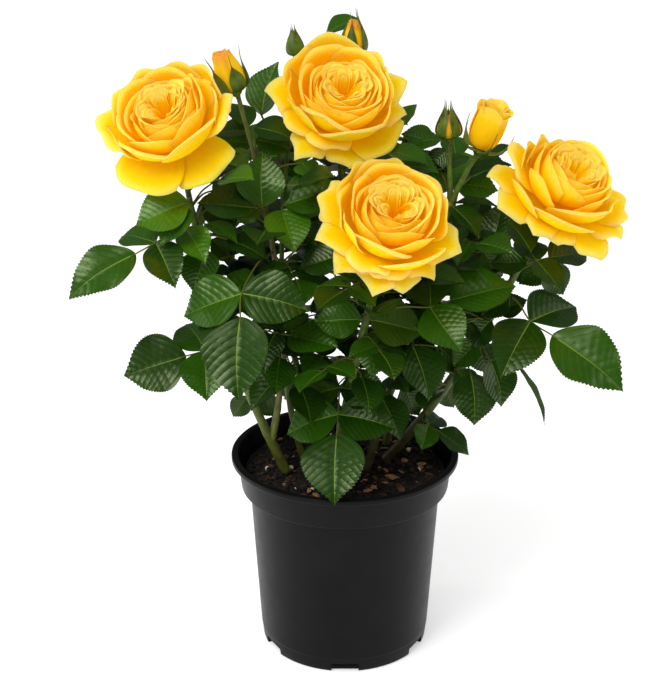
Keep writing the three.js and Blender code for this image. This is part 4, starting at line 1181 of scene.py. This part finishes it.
def make_looks():
    """Each kind of piece's materials, in the order of their numbers."""
    bud_petals = {
        "orange": petal_finish("bud_orange", (240, 178, 8), (250, 186, 30), (242, 150, 56)),
        "yellow": petal_finish("bud_yellow", (250, 176, 4), (253, 192, 16), (254, 214, 84)),
        "amber": petal_finish("bud_amber", (190, 160, 30), (224, 150, 40), (226, 120, 60)),
    }
    return {
        "leaf": [
            leaf_finish("leaf_dark", (48, 82, 8), (27, 63, 0), (17, 46, 0)),
            leaf_finish("leaf_mid", (62, 104, 12), (41, 85, 1), (28, 65, 0)),
            leaf_finish("leaf_fresh", (84, 130, 22), (60, 108, 6), (45, 88, 3)),
            leaf_finish("leaf_olive", (64, 92, 20), (48, 79, 6), (34, 62, 4)),
            plain_finish("leaf_rib", (110, 138, 42), 0.5, Specular_IOR_Level=0.1),
            plain_finish("leaf_under", (62, 86, 40), 0.6, Specular_IOR_Level=0.15),
        ],
        "stalk": [plain_finish("leaf_stalk", (92, 98, 34), 0.5, Specular_IOR_Level=0.15)],
        "canes": [
            cane_finish("cane_green", (86, 92, 26), (90, 120, 24), (74, 104, 26)),
            cane_finish("cane_dark", (66, 60, 30), (82, 98, 32), (98, 130, 40)),
            cane_finish("cane_bronze", (104, 114, 42), (132, 96, 64), (92, 104, 40)),
            plain_finish("prickle", (150, 110, 70), 0.5),
        ],
        "petals": [
            petal_finish(
                "petal_outer", (247, 192, 1), (249, 202, 8), (252, 216, 112), places=(0.25, 0.7, 0.97),
            ),
            petal_finish(
                "petal_middle", (247, 188, 0), (249, 203, 4), (252, 217, 98), places=(0.25, 0.74, 0.98),
            ),
            petal_finish(
                "petal_heart", (247, 165, 0), (250, 198, 2), (252, 217, 90), places=(0.25, 0.72, 0.98),
                glow=HEART_GLOW,
            ),
            # A darker copy of the outer petals' colours: painted shade for the round guard petals, which
            # face the light.
            petal_finish("petal_low_shaded", (226, 168, 0), (242, 192, 8), (250, 212, 84)),
        ],
        "calyx": [
            cane_finish("sepal", (64, 92, 16), (86, 112, 20), (104, 84, 26)),
            plain_finish("sepal_inner", (108, 132, 52), 0.6, Specular_IOR_Level=0.2),
        ],
        "pot": [pot_plastic()],
        "soil": [soil_finish("soil", (14, 8, 5), (38, 24, 14))],
        "soil_crumbs": [
            soil_finish("crumb_dark", (16, 10, 7), (36, 23, 15)),
            soil_finish("crumb_brown", (34, 20, 12), (68, 43, 26)),
            soil_finish("crumb_black", (9, 6, 4), (22, 14, 10)),
        ],
        "bark_chips": [
            grain_finish("chip_tan", 0.85, (112, 74, 44), (170, 124, 80)),
            grain_finish("chip_red", 0.85, (56, 30, 18), (98, 56, 34)),
        ],
        "perlite_grains": [grain_finish("perlite", 0.8, (206, 192, 160), (238, 230, 208))],
        **{name: [material] for name, material in bud_petals.items()},
    }


# Leaves

def blade_sheet(leaflet, count, columns, habit, raised):
    """One side of a leaflet as a grid: the point at each row and column, and its UV."""
    rows = np.linspace(0.004, 1, count + 1)
    oval = np.maximum(np.sin(math.pi * rows ** OVAL_SKEW), 0) ** OVAL_POWER
    wide = np.maximum(habit["wider"] * HALF_WIDTH * oval * (1 - 0.35 * smooth(0.75, 1, rows)), 0.004)
    rib = np.minimum(RIB_WIDTH * (1.1 - rows), wide * 0.5)
    side = rib[:, None] + (wide - rib)[:, None] * columns[None]
    tooth = np.where(np.arange(count + 1) % 2 == 1, TOOTH, -TOOTH * 0.3)
    tooth = tooth * smooth(0.03, 0.12, rows) * (1 - smooth(0.9, 0.99, rows))
    side = side + (columns == 1)[None] * tooth[:, None]
    v = np.concatenate([-side[:, ::-1], side], axis=1)
    u = rows[:, None] + 0 * v
    u[:, 0] += tooth * 0.9
    u[:, -1] += tooth * 0.9
    share = np.clip(np.abs(v) / wide[:, None], 0, 1)
    wave = np.abs(np.sin(math.pi * VEIN_COUNT * (u - VEIN_SLANT * np.abs(v) - VEIN_BEND * v * v)))
    uneven = 0.75 + 0.25 * np.sin(9 * u + 5 * v + habit["phase"])
    quilt = QUILT * uneven * (wave ** 0.6 - 0.5) * (1 - share ** 4)
    quilt = quilt * smooth(0, 0.15, u) * smooth(0, 0.15, share)
    ripple = np.sin(u * habit["waves"] * math.pi + habit["phase"] * np.sign(v))
    ripple = habit["ripple"] * ripple * share ** 2
    groove = -RIB_GROOVE * np.exp(-((v / 0.02) ** 2))
    twist = habit["twist"] * v * u
    curl = -habit["curl"] * np.clip(u - 0.55, 0, 1) ** 2
    bow = RIB_BOW * math.sin(7 * habit["phase"]) * np.sin(math.pi * u)
    height = quilt + ripple + groove + twist + curl + raised / leaflet["length"]
    return leaflet_points(leaflet, u, v + bow, height), np.stack([u, 0.5 + v], -1)


def add_leaflet(bag, leaflet, tone, grade, wider):
    """A leaflet's upper and lower skin, meeting at its toothed margin."""
    habit = {
        "ripple": rng.uniform(0.006, 0.022), "waves": rng.uniform(3, 5.5), "phase": rng.uniform(0, 6),
        "twist": rng.uniform(-0.12, 0.12), "curl": rng.uniform(0, 0.35), "wider": wider,
    }
    half = BLADE_THICKNESS / 2
    for columns, raised, flip in ((grade["top"], half, False), (grade["under"], -half, True)):
        points, uvs = blade_sheet(leaflet, grade["rows"], vec(columns), habit, raised)
        rows, count = points.shape[:2]
        faces = grid_faces(rows, count, flip)
        on_rib = np.min(faces % count, axis=1) == count // 2 - 1
        bag.add(points, faces, uvs, UNDER if flip else np.where(on_rib, RIB, tone))


def tone_of(leaflet):
    """A leaflet's tone, dealt out by chance: the young leaves near the top are often fresher."""
    lot = rng.random()
    if leaflet["root"][2] > FRESH_HEIGHT and lot < 0.35:
        return FRESH
    if lot < 0.5:
        return DARK
    return MID if lot < 0.95 else OLIVE


def make_foliage(growth, looks):
    """Each mass of leaves as one piece, and its stalks as another."""
    for name, leaves in growth.leaves.items():
        blades = Bag()
        stalks = Bag()
        for leaf in leaves:
            grade = FINE_BLADE if leaf["fine"] else COARSE_BLADE
            *pairs, end = leaf["leaflets"]
            for leaflet in (*pairs, rolled_over(end, leaf["end_roll"])):
                add_leaflet(blades, leaflet, tone_of(leaflet), grade, leaf["wider"])
            line = spline(leaf["stalk"], 5)
            add_tube(stalks, line, np.linspace(*STALK_RADII, len(line)), STALK_SIDES, 0)
        make_piece(f"leaves_{name}", blades, looks["leaf"], [f"foliage_{name}"])
        make_piece(f"stalks_{name}", stalks, looks["stalk"])


# Canes

def add_cane(bag, line, radii, slot):
    """A cane with a slightly uneven skin and a swelling at each old leaf's node."""
    parts = np.linspace(0, 1, max(8, int(length_of(line) / 2)) + 1)
    height = parts * length_of(line)
    past_node = ((height + 6) % NODE_STEP) - NODE_STEP / 2
    swelling = NODE_SWELLING * np.exp(-(past_node / NODE_HALF_HEIGHT) ** 2)
    lobes = np.cos(np.arange(CANE_SIDES) * 2 * math.pi / CANE_SIDES * 2)
    uneven = UNEVEN_BARK * np.sin(height / 7.3)[:, None] * lobes
    skin_radii = mix(*radii, parts)[:, None] + (swelling[:, None] + uneven)
    add_tube(bag, bezier(line, parts), skin_radii, CANE_SIDES, slot)


def add_prickle(bag, point, way, size):
    """A short hooked prickle that stands out of a cane."""
    steps = 6
    hook = (point, point + way * size * 0.6, point + (way + vec((0, 0, -0.35))) * size)
    radii = np.linspace(0.75, 0.06, steps) * size / 2.6
    add_tube(bag, bezier(hook, np.linspace(0, 1, steps)), radii, 6, PRICKLE)


def make_canes(looks):
    bag = Bag()
    for name, stem in STEMS.items():
        low, high = stem["radius"]
        add_cane(bag, stem["line"], (CANE_FOOT * low, high), BARKS.get(name, GREEN_BARK))
        for twig in TWIGS.get(name, []):
            add_cane(bag, twig_line(name, twig), (twig["radius"] + 0.25, twig["radius"]), GREEN_BARK)
        for part in PRICKLES_AT:
            part = part + rng.uniform(-0.04, 0.04)
            way = vec((*turned(1, 0, rng.uniform(0, 2 * math.pi)), 0.1))
            point = bezier(stem["line"], part) + way * mix(low, high, part) * 0.8
            add_prickle(bag, point, way, rng.uniform(*PRICKLE_LENGTH))
    add_cane(bag, LOW_SHOOT["line"], LOW_SHOOT["radius"], GREEN_BARK)
    nodes = [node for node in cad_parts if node.startswith(("cane_", "bough_"))]
    make_piece("canes", bag, looks["canes"], nodes)


# Blooms and buds

def seat_on(line, radius, faces):
    """How points go to their place on a stem's end: their axis turned to the way a bloom or bud
    faces, and their own X level and to the picture's right."""
    way = unit(vec(faces))
    tangent = unit(vec(line[2]) - vec(line[1]))
    tilt = math.acos(float(np.clip(tangent @ way, -1, 1)))
    place = bezier(line, 1.0) + way * (GAP + 0.1 + radius * math.sin(tilt))
    right = unit(vec((1, 0, 0)) - way * way[0])
    axes = np.stack([right, np.cross(way, right), way])
    return lambda points: points @ axes + place


def add_skin(bag, seat, grid, thickness, uvs, outer_slot, inner_slot):
    """A thin closed leaf of tissue round a grid of points, thinnest at its margin."""
    normal = rows_unit(np.cross(np.gradient(grid, axis=1), np.gradient(grid, axis=0)))
    rows, columns = grid.shape[:2]
    s, v = strip(rows, columns)
    half = (thickness / 2 * (1 - s ** 8) * (1 - v ** 8))[..., None]
    bag.add(seat(grid + normal * half), grid_faces(rows, columns), uvs, outer_slot)
    bag.add(seat(grid - normal * half), grid_faces(rows, columns, True), uvs, inner_slot)


def petal_line(petal, s, v):
    """The radius and height of a petal's points; its rim rolls outwards by the angle given as curl."""
    outline = 1 - petal["drop"] * np.abs(v) ** petal["blunt"]
    outline = outline + petal.get("cusp", 0) * np.clip(1 - np.abs(v) / 0.3, 0, 1) ** 1.6
    reach = s * outline
    held = np.minimum(reach, ROLL_START * outline)
    line = bezier(petal["path"], held)
    ahead = bezier(petal["path"], held + 0.01) - line
    length = np.linalg.norm(ahead, axis=-1) * 100
    ahead = rows_unit(ahead)
    wavy = 1 + 0.25 * np.sin(v * petal["waves"] + petal["phase"])
    curl = petal["curl"] * (1 - 0.6 * v ** 4) * wavy + 1e-4
    tight = np.maximum((1 - ROLL_START) * outline * length / curl, 1e-3)
    rolled = (reach - held) * length / tight
    along = tight * np.sin(rolled)
    out = tight * (1 - np.cos(rolled))
    radius = line[..., 0] + ahead[..., 0] * along + ahead[..., 1] * out
    height = line[..., 1] + ahead[..., 1] * along - ahead[..., 0] * out
    return reach, radius, height


def petal_grid(petal):
    """A petal's points in its bloom's own frame: its middle line, swept round the bloom's axis."""
    s, v = strip(PETAL_ROWS, PETAL_COLUMNS)
    reach, radius, height = petal_line(petal, s, v)
    broad = np.sin(math.pi / 2 * np.clip(reach / 0.62, 0, 1))
    half = petal["width"] / 2 * (petal["claw"] + (1 - petal["claw"]) * broad)
    bend = np.maximum(radius, 3) * mix(*petal["wrap"], reach)
    turn = v * half / bend
    side = smooth(0.5, 1, np.abs(v)) * smooth(0.35, 0.95, s) * petal["sides"]
    ruffle = petal["ruffle"] * np.sin(v * petal["waves"] * 1.7 + petal["phase"]) * s ** 3
    x = radius - bend * (1 - np.cos(turn)) + petal["tuck"] * v * s + 0.5 * side + ruffle
    y = bend * np.sin(turn) - np.sign(v) * side * 0.6
    z = height - 0.9 * side + 0.4 * ruffle
    x, y = turned(x, y, petal["angle"])
    centre = petal.get("centre", (0, 0))
    return np.stack([x + centre[0] * s, y + centre[1] * s, z], -1), np.stack([s, (v + 1) / 2], -1)


def aimed(petal, radius, height, upright):
    """The petal with its far half moved so that its rim, roll and all, comes to a radius and height."""
    _, radii, heights = petal_line(petal, np.linspace(0, 1, PETAL_ROWS), np.zeros(PETAL_ROWS))
    shift = vec((radius - radii.max(), height - (heights.max() if upright else heights[-1])))
    first, second, third, tip = (vec(point) for point in petal["path"])
    return {**petal, "path": (first, second, third + shift, tip + shift)}


def add_petal(bag, seat, petal, slot):
    grid, uvs = petal_grid(petal)
    add_skin(bag, seat, grid, PETAL_THICKNESS, uvs, slot, slot)


def placed_petal(kind, angle, radius, height, width):
    """A placed petal's shape from its row, with a little of its own unevenness."""
    (near, near_rise), (far, far_rise) = kind["bends"]
    path = (
        (3, 8), (radius * near, height * near_rise + kind["lift"][0]),
        (radius * far, height * far_rise + kind["lift"][1]), (radius, height),
    )
    petal = {
        **kind, "path": path, "angle": math.radians(angle), "width": width,
        "curl": kind["curl"] * rng.uniform(0.8, 1.2), "waves": rng.uniform(2.2, 4),
        "phase": rng.uniform(0, 6), "tuck": kind["tuck"] * rng.choice((-1, 1)),
    }
    return aimed(petal, radius, height, kind["upright"])


def folded_petal(kind, part, bulge, angle, centre):
    """A petal of the heart or of a knot, from its part of the way in and its widest radius."""
    tip = bulge * mix(*kind["tips"], part) * rng.uniform(*kind["uneven"])
    height = mix(*kind["heights"], part) + rng.uniform(*kind["drift"])
    near, near_height = kind["near"]
    far, far_rise = kind["far"]
    path = (kind["foot"], (bulge * near, near_height), (bulge * far, height * far_rise), (tip, height))
    petal = {
        **kind, "path": path, "angle": math.radians(angle), "width": bulge * rng.uniform(*kind["widths"]),
        "ruffle": rng.uniform(*kind["ruffles"]), "waves": rng.uniform(*kind["wave"]),
        "phase": rng.uniform(0, 6), "centre": centre,
    }
    return aimed(petal, tip, height, True)


def add_hip(bag, seat, stem_radius, wide, height):
    """The green hip under the petals, with the collar that closes round its stem's end."""
    collar = stem_radius + 0.25
    profile = [
        (0.05, -1.2), (collar, -1.2), (collar + 0.1, 0.4), (wide * 0.8, height * 0.25),
        (wide, height * 0.6), (wide * 0.82, height), (0.05, height + 0.4),
    ]
    add_lathe(bag, rounded(profile, 1.0), HIP_SEGMENTS, 0, seat)


def add_sepal(bag, seat, path, width, taper, angle):
    """A sepal along a curve of radius and height, broad below and drawn out to a fine tip."""
    s, v = strip(SEPAL_ROWS, SEPAL_COLUMNS)
    line = bezier(path, s)
    half = width / 2 * (0.55 + 0.45 * smooth(0, 0.25, s)) * (1 - smooth(*taper, s)) + 0.3 * (1 - 0.6 * s)
    bend = np.maximum(line[..., 0], 2.2)
    turn = v * half / bend
    x, y = turned(line[..., 0] - bend * (1 - np.cos(turn)), bend * np.sin(turn), angle)
    grid = np.stack([x, y, line[..., 1]], -1)
    add_skin(bag, seat, grid, SEPAL_THICKNESS, np.stack([(v + 1) / 2, s], -1), 0, 1)


def make_bloom(name, bloom, looks):
    """A bloom: placed petals round a folded heart and its knots, on a green hip with five sepals."""
    stem = STEMS[bloom["stem"]]
    seat = seat_on(stem["line"], stem["radius"][1], bloom["faces"])
    petals = Bag()
    for kind, *row in PLACED_PETALS[name]:
        add_petal(petals, seat, placed_petal(PETAL_KINDS[kind], *row), PETAL_KINDS[kind]["slot"])
    first = rng.uniform(0, 360)
    eye = vec(bloom["eye"])
    for i in range(HEART_PETALS):
        part = i / (HEART_PETALS - 1)
        petal = folded_petal(HEART, part, mix(*HEART_RADIUS, part), first + GOLDEN_ANGLE * i, eye)
        add_petal(petals, seat, petal, 2)
    for way, out, radius in KNOTS:
        way = way + rng.uniform(-9, 9)
        centre = eye + out * vec(turned(1, 0, math.radians(way)))
        for i in range(KNOT_PETALS):
            part = i / (KNOT_PETALS - 1)
            bulge = mix(radius, KNOT_INNER_RADIUS, part)
            petal = folded_petal(KNOT, part, bulge, way + rng.uniform(-28, 28), centre)
            add_petal(petals, seat, petal, 2)
    make_piece(f"petals_{name}", petals, looks["petals"], [f"bloom_{name}"])
    green = Bag()
    add_hip(green, seat, stem["radius"][1], HIP_RADIUS, HIP_HEIGHT)
    for i in range(SEPAL_COUNT):
        path = ((HIP_RADIUS * 0.8, 5.5), (9, 6), (14, 1), (15, -7 + rng.uniform(-2, 2)))
        add_sepal(green, seat, path, SEPAL_WIDTH, (0.25, 0.8), math.radians(360 / SEPAL_COUNT * i + 20))
    make_piece(f"calyx_{name}", green, looks["calyx"])


def make_bud(name, bud, looks):
    """A bud: rolled petals that show above the sepals, or between them while it is closed."""
    line, stem_radius = bud_stem(bud)
    seat = seat_on(line, stem_radius, bud["lean"])
    half = bud["width"] / 2 * bud["size"]
    tall = bud["length"] * bud["size"]
    kind = BUD_KINDS[bud["kind"]]
    belly = mix(1.75, 1.3, (kind["shoulder"] - 0.6) / 0.4)
    petals = Bag()
    for layer, (count, bulge, tip, top) in enumerate(kind["layers"]):
        for i in range(count):
            angle = math.radians(bud["turn"] + 40 + 360 / count * i + 53 * layer + rng.uniform(-6, 6))
            rise = tall * top * rng.uniform(0.95, 1.0)
            broad = half * bulge
            path = (
                (1.4, tall * 0.14), (broad * belly, tall * 0.16), (broad * kind["shoulder"], tall * 0.66),
                (half * tip, rise),
            )
            petal = {
                **BUD_PETAL, "path": path, "angle": angle, "width": broad * kind["wrap"],
                "curl": kind["curl"], "tuck": 0.16 * half, "ruffle": 0.3 * min(1, kind["curl"] * 3),
                "waves": rng.uniform(2, 4), "phase": rng.uniform(0, 6),
            }
            add_petal(petals, seat, petal, 0)
    make_piece(f"petals_{name}", petals, looks[bud["look"]], [f"bud_{name}"])
    green = Bag()
    add_hip(green, seat, stem_radius, half * kind["hip"], tall * 0.2)
    for i in range(SEPAL_COUNT):
        angle = math.radians(bud["turn"] + 360 / SEPAL_COUNT * i + rng.uniform(-5, 5))
        sway = rng.uniform(0.9, 1.1)
        path = [
            (half * r * (sway if k > 2 else 1), tall * z * (sway if k > 3 else 1))
            for k, (r, z) in enumerate(kind["curve"])
        ]
        add_sepal(green, seat, path, half * kind["sepal"] * bud["cover"], kind["taper"], angle)
    make_piece(f"calyx_{name}", green, looks["calyx"])


# Pot and soil

def make_pot(looks):
    """The moulded pot, turned with rounded corners, its notches cut through the foot band."""
    profile = [
        (0.05, 0),
        (FOOT_RADIUS, 0),
        (FOOT_RADIUS + 0.9, FOOT_BAND_HEIGHT),
        (WALL_FOOT_RADIUS, FOOT_BAND_HEIGHT + 0.5),
        (WALL_TOP_RADIUS, COLLAR_FOOT_HEIGHT - 1),
        (COLLAR_FOOT_RADIUS, COLLAR_FOOT_HEIGHT),
        (COLLAR_TOP_RADIUS, POT_HEIGHT - RIM_DROP - 0.5),
        (RIM_RADIUS, POT_HEIGHT - RIM_DROP),
        (RIM_RADIUS, POT_HEIGHT),
        (RIM_INNER_RADIUS, POT_HEIGHT),
        (COLLAR_FOOT_RADIUS - WALL, COLLAR_FOOT_HEIGHT + 1),
        (WALL_TOP_RADIUS - WALL, COLLAR_FOOT_HEIGHT - 1),
        (FOOT_RADIUS - WALL - 1, FLOOR),
        (0.05, FLOOR),
    ]
    bag = Bag()
    add_lathe(bag, rounded(profile, CORNER_RADIUS), POT_SEGMENTS, 0, capped=True)
    pot = make_piece("pot_shell", bag, looks["pot"], ["pot"])
    cut_notches(pot)
    pot.data.set_sharp_from_angle(angle=math.radians(SHARP_ANGLE))


def cut_notches(pot):
    """Cuts the drainage slots at the foot by one Boolean with a box for each."""
    bag = Bag()
    for i in range(NOTCH_COUNT):
        add_notch(bag, math.radians(-90 + 360 / NOTCH_COUNT * i))
    cutter = put_mesh("notches", bag)
    modifier = pot.modifiers.new("notches", "BOOLEAN")
    modifier.operation = "DIFFERENCE"
    modifier.object = cutter
    modifier.solver = "EXACT"
    bpy.context.view_layer.update()
    cut = bpy.data.meshes.new_from_object(pot.evaluated_get(bpy.context.evaluated_depsgraph_get()))
    pot.modifiers.clear()
    pot.data = cut
    bpy.data.objects.remove(cutter)


def add_notch(bag, angle):
    """The box that cuts one notch, outwards through the foot band at an angle."""
    half = NOTCH_WIDTH / 2
    near = FOOT_RADIUS - NOTCH_DEPTH
    far = FOOT_RADIUS + 5
    corners = []
    for z in (-1, NOTCH_HEIGHT):
        for x, y in ((near, -half), (far, -half), (far, half), (near, half)):
            corners.append((*turned(x, y, angle), z))
    faces = [
        (0, 2, 1), (0, 3, 2), (4, 5, 6), (4, 6, 7), (0, 1, 5), (0, 5, 4),
        (1, 2, 6), (1, 6, 5), (2, 3, 7), (2, 7, 6), (3, 0, 4), (3, 4, 7),
    ]
    bag.add(corners, faces, np.zeros((8, 2)), 0)


def soil_height(x, y):
    """The uneven top of the soil, a little heaped round the canes."""
    wave = 0.9 * np.sin(x / 5.1 + 1.3) * np.cos(y / 6.3) + 0.6 * np.sin(x / 2.3) * np.sin(y / 2.9 + 2)
    return SOIL_LEVEL - 0.6 + wave - 1.6 * smooth(40, 57, np.hypot(x, y))


def make_soil(looks):
    """The soil's bumpy top and its side down the pot."""
    spokes = circle(SOIL_SEGMENTS)
    level = np.linspace(0.5, SOIL_RADIUS, SOIL_RINGS)[:, None, None] * spokes
    z = soil_height(level[..., 0], level[..., 1]) + rng.normal(0, 0.35, (SOIL_RINGS, SOIL_SEGMENTS))
    rings = list(np.concatenate([level, z[..., None]], -1))
    side = ((SOIL_RADIUS - 0.3, 100), (WALL_TOP_RADIUS - 2.2, 95), (FOOT_RADIUS - 3.4, FLOOR + GAP + 4))
    for radius, height in side:
        rings.append(np.column_stack([radius * spokes, np.full(SOIL_SEGMENTS, height)]))
    bag = Bag()
    add_rings(bag, np.array(rings), 0, flip=True)
    make_piece("soil_body", bag, looks["soil"], ["potting_soil"])


def add_lump(bag, centre, size, slot, flat, long):
    """A rough crumb: a ball of a few facets with jittered corners."""
    theta = np.linspace(0.25, math.pi - 0.25, LUMP_ROWS)[:, None]
    x, y = circle(LUMP_SIDES).T
    ball = np.stack([np.sin(theta) * x * long, np.sin(theta) * y, np.cos(theta) * flat + 0 * x], -1)
    ball = ball * rng.uniform(0.72, 1.18, (LUMP_ROWS, LUMP_SIDES, 1)) * size / 2
    turn = Matrix.Rotation(rng.uniform(0, 6.3), 3, "Z")
    turn = turn @ Matrix.Rotation(rng.uniform(-0.6, 0.6), 3, "X")
    ball = ball @ np.array(turn).T + centre
    add_rings(bag, ball, slot, ball[[0, -1]].mean(axis=1), flip=True, mapped=False)


def scatter(count, radius):
    """Places spread evenly over the soil, clear of the canes."""
    feet = np.array([stem["line"][0][:2] for name, stem in STEMS.items() if name != "left_inner"])
    places = []
    while len(places) < count:
        r = radius * math.sqrt(rng.random())
        place = r * vec(turned(1, 0, rng.uniform(0, 2 * math.pi)))
        if np.linalg.norm(feet - place, axis=1).min() > CANE_ROOM:
            places.append(place)
    return places


def make_litter(looks):
    """The loose crumbs, bark chips and pale grains that lie on the soil, each kind as one mesh."""
    for name, count, inset, (least, greatest), skew, out, form in LITTER:
        bag = Bag()
        for x, y in scatter(count, SOIL_RADIUS - inset):
            size = mix(least, greatest, rng.random() ** skew)
            slot = int(rng.integers(0, len(looks[name])))
            add_lump(bag, (x, y, soil_height(x, y) + size * out), size, slot, *form)
        make_piece(name, bag, looks[name], smooth_shaded=False)


# Camera, lights and floor

def aim(thing, way):
    thing.rotation_euler = Vector(way).to_track_quat("-Z", "Y").to_euler()


def make_camera():
    data = bpy.data.cameras.new("camera")
    data.lens = CAMERA_LENS
    data.sensor_width = 36
    camera = put("camera", data)
    camera.location = [value * MM for value in CAMERA_PLACE]
    camera.rotation_euler = (math.radians(90 - CAMERA_PITCH), 0, 0)
    bpy.context.scene.camera = camera


def add_light(name, place, target, size, power):
    data = bpy.data.lights.new(name, "AREA")
    data.shape = "RECTANGLE"
    data.size, data.size_y = size
    data.energy = power
    light = put(name, data)
    light.location = place
    aim(light, Vector(target) - Vector(place))


def make_studio():
    """A white floor under soft studio light from above the camera's left, with a strip at each side."""
    scene = bpy.context.scene
    scene.view_settings.view_transform = "Standard"
    scene.world = bpy.data.worlds.new("studio")
    nodes = Nodes(scene.world)
    seen_by = nodes.node("ShaderNodeLightPath", {}).outputs
    feeds = {"Value": seen_by["Is Glossy Ray"], "To Min": WORLD_LIGHT, "To Max": WORLD_SHEEN}
    sheen = nodes.node("ShaderNodeMapRange", feeds).outputs[0]
    background = nodes.tree.nodes["Background"].inputs
    nodes.feed(background["Color"], (1, 1, 1, 1))
    nodes.feed(background["Strength"], nodes.math("MAXIMUM", sheen, seen_by["Is Camera Ray"]))
    data = bpy.data.lights.new("sun", "SUN")
    data.energy = SUN_LIGHT
    data.angle = math.radians(SUN_SPREAD)
    aim(put("sun", data), -Vector(SUN_FROM))
    for name, light in AREA_LIGHTS.items():
        add_light(name, *light)
    bag = Bag()
    corners = ((0, 0), (1, 0), (1, 1), (0, 1))
    points = [((2 * x - 1) * FLOOR_REACH, (2 * y - 1) * FLOOR_REACH, -FLOOR_DROP) for x, y in corners]
    bag.add(points, [(0, 1, 2), (0, 2, 3)], corners, 0)
    glow = {"Emission_Color": (1, 1, 1, 1), "Emission_Strength": FLOOR_GLOW}
    plane = put_mesh("floor", bag, [plain_finish("floor_white", (248, 248, 248), 0.9, **glow)])


make_camera()
make_studio()
looks = make_looks()
growth = grow_bush()
make_pot(looks)
make_soil(looks)
make_litter(looks)
make_canes(looks)
make_foliage(growth, looks)
for bloom_name, bloom_shape in BLOOMS.items():
    make_bloom(bloom_name, bloom_shape, looks)
for bud_name, bud_shape in BUDS.items():
    make_bud(bud_name, bud_shape, looks)
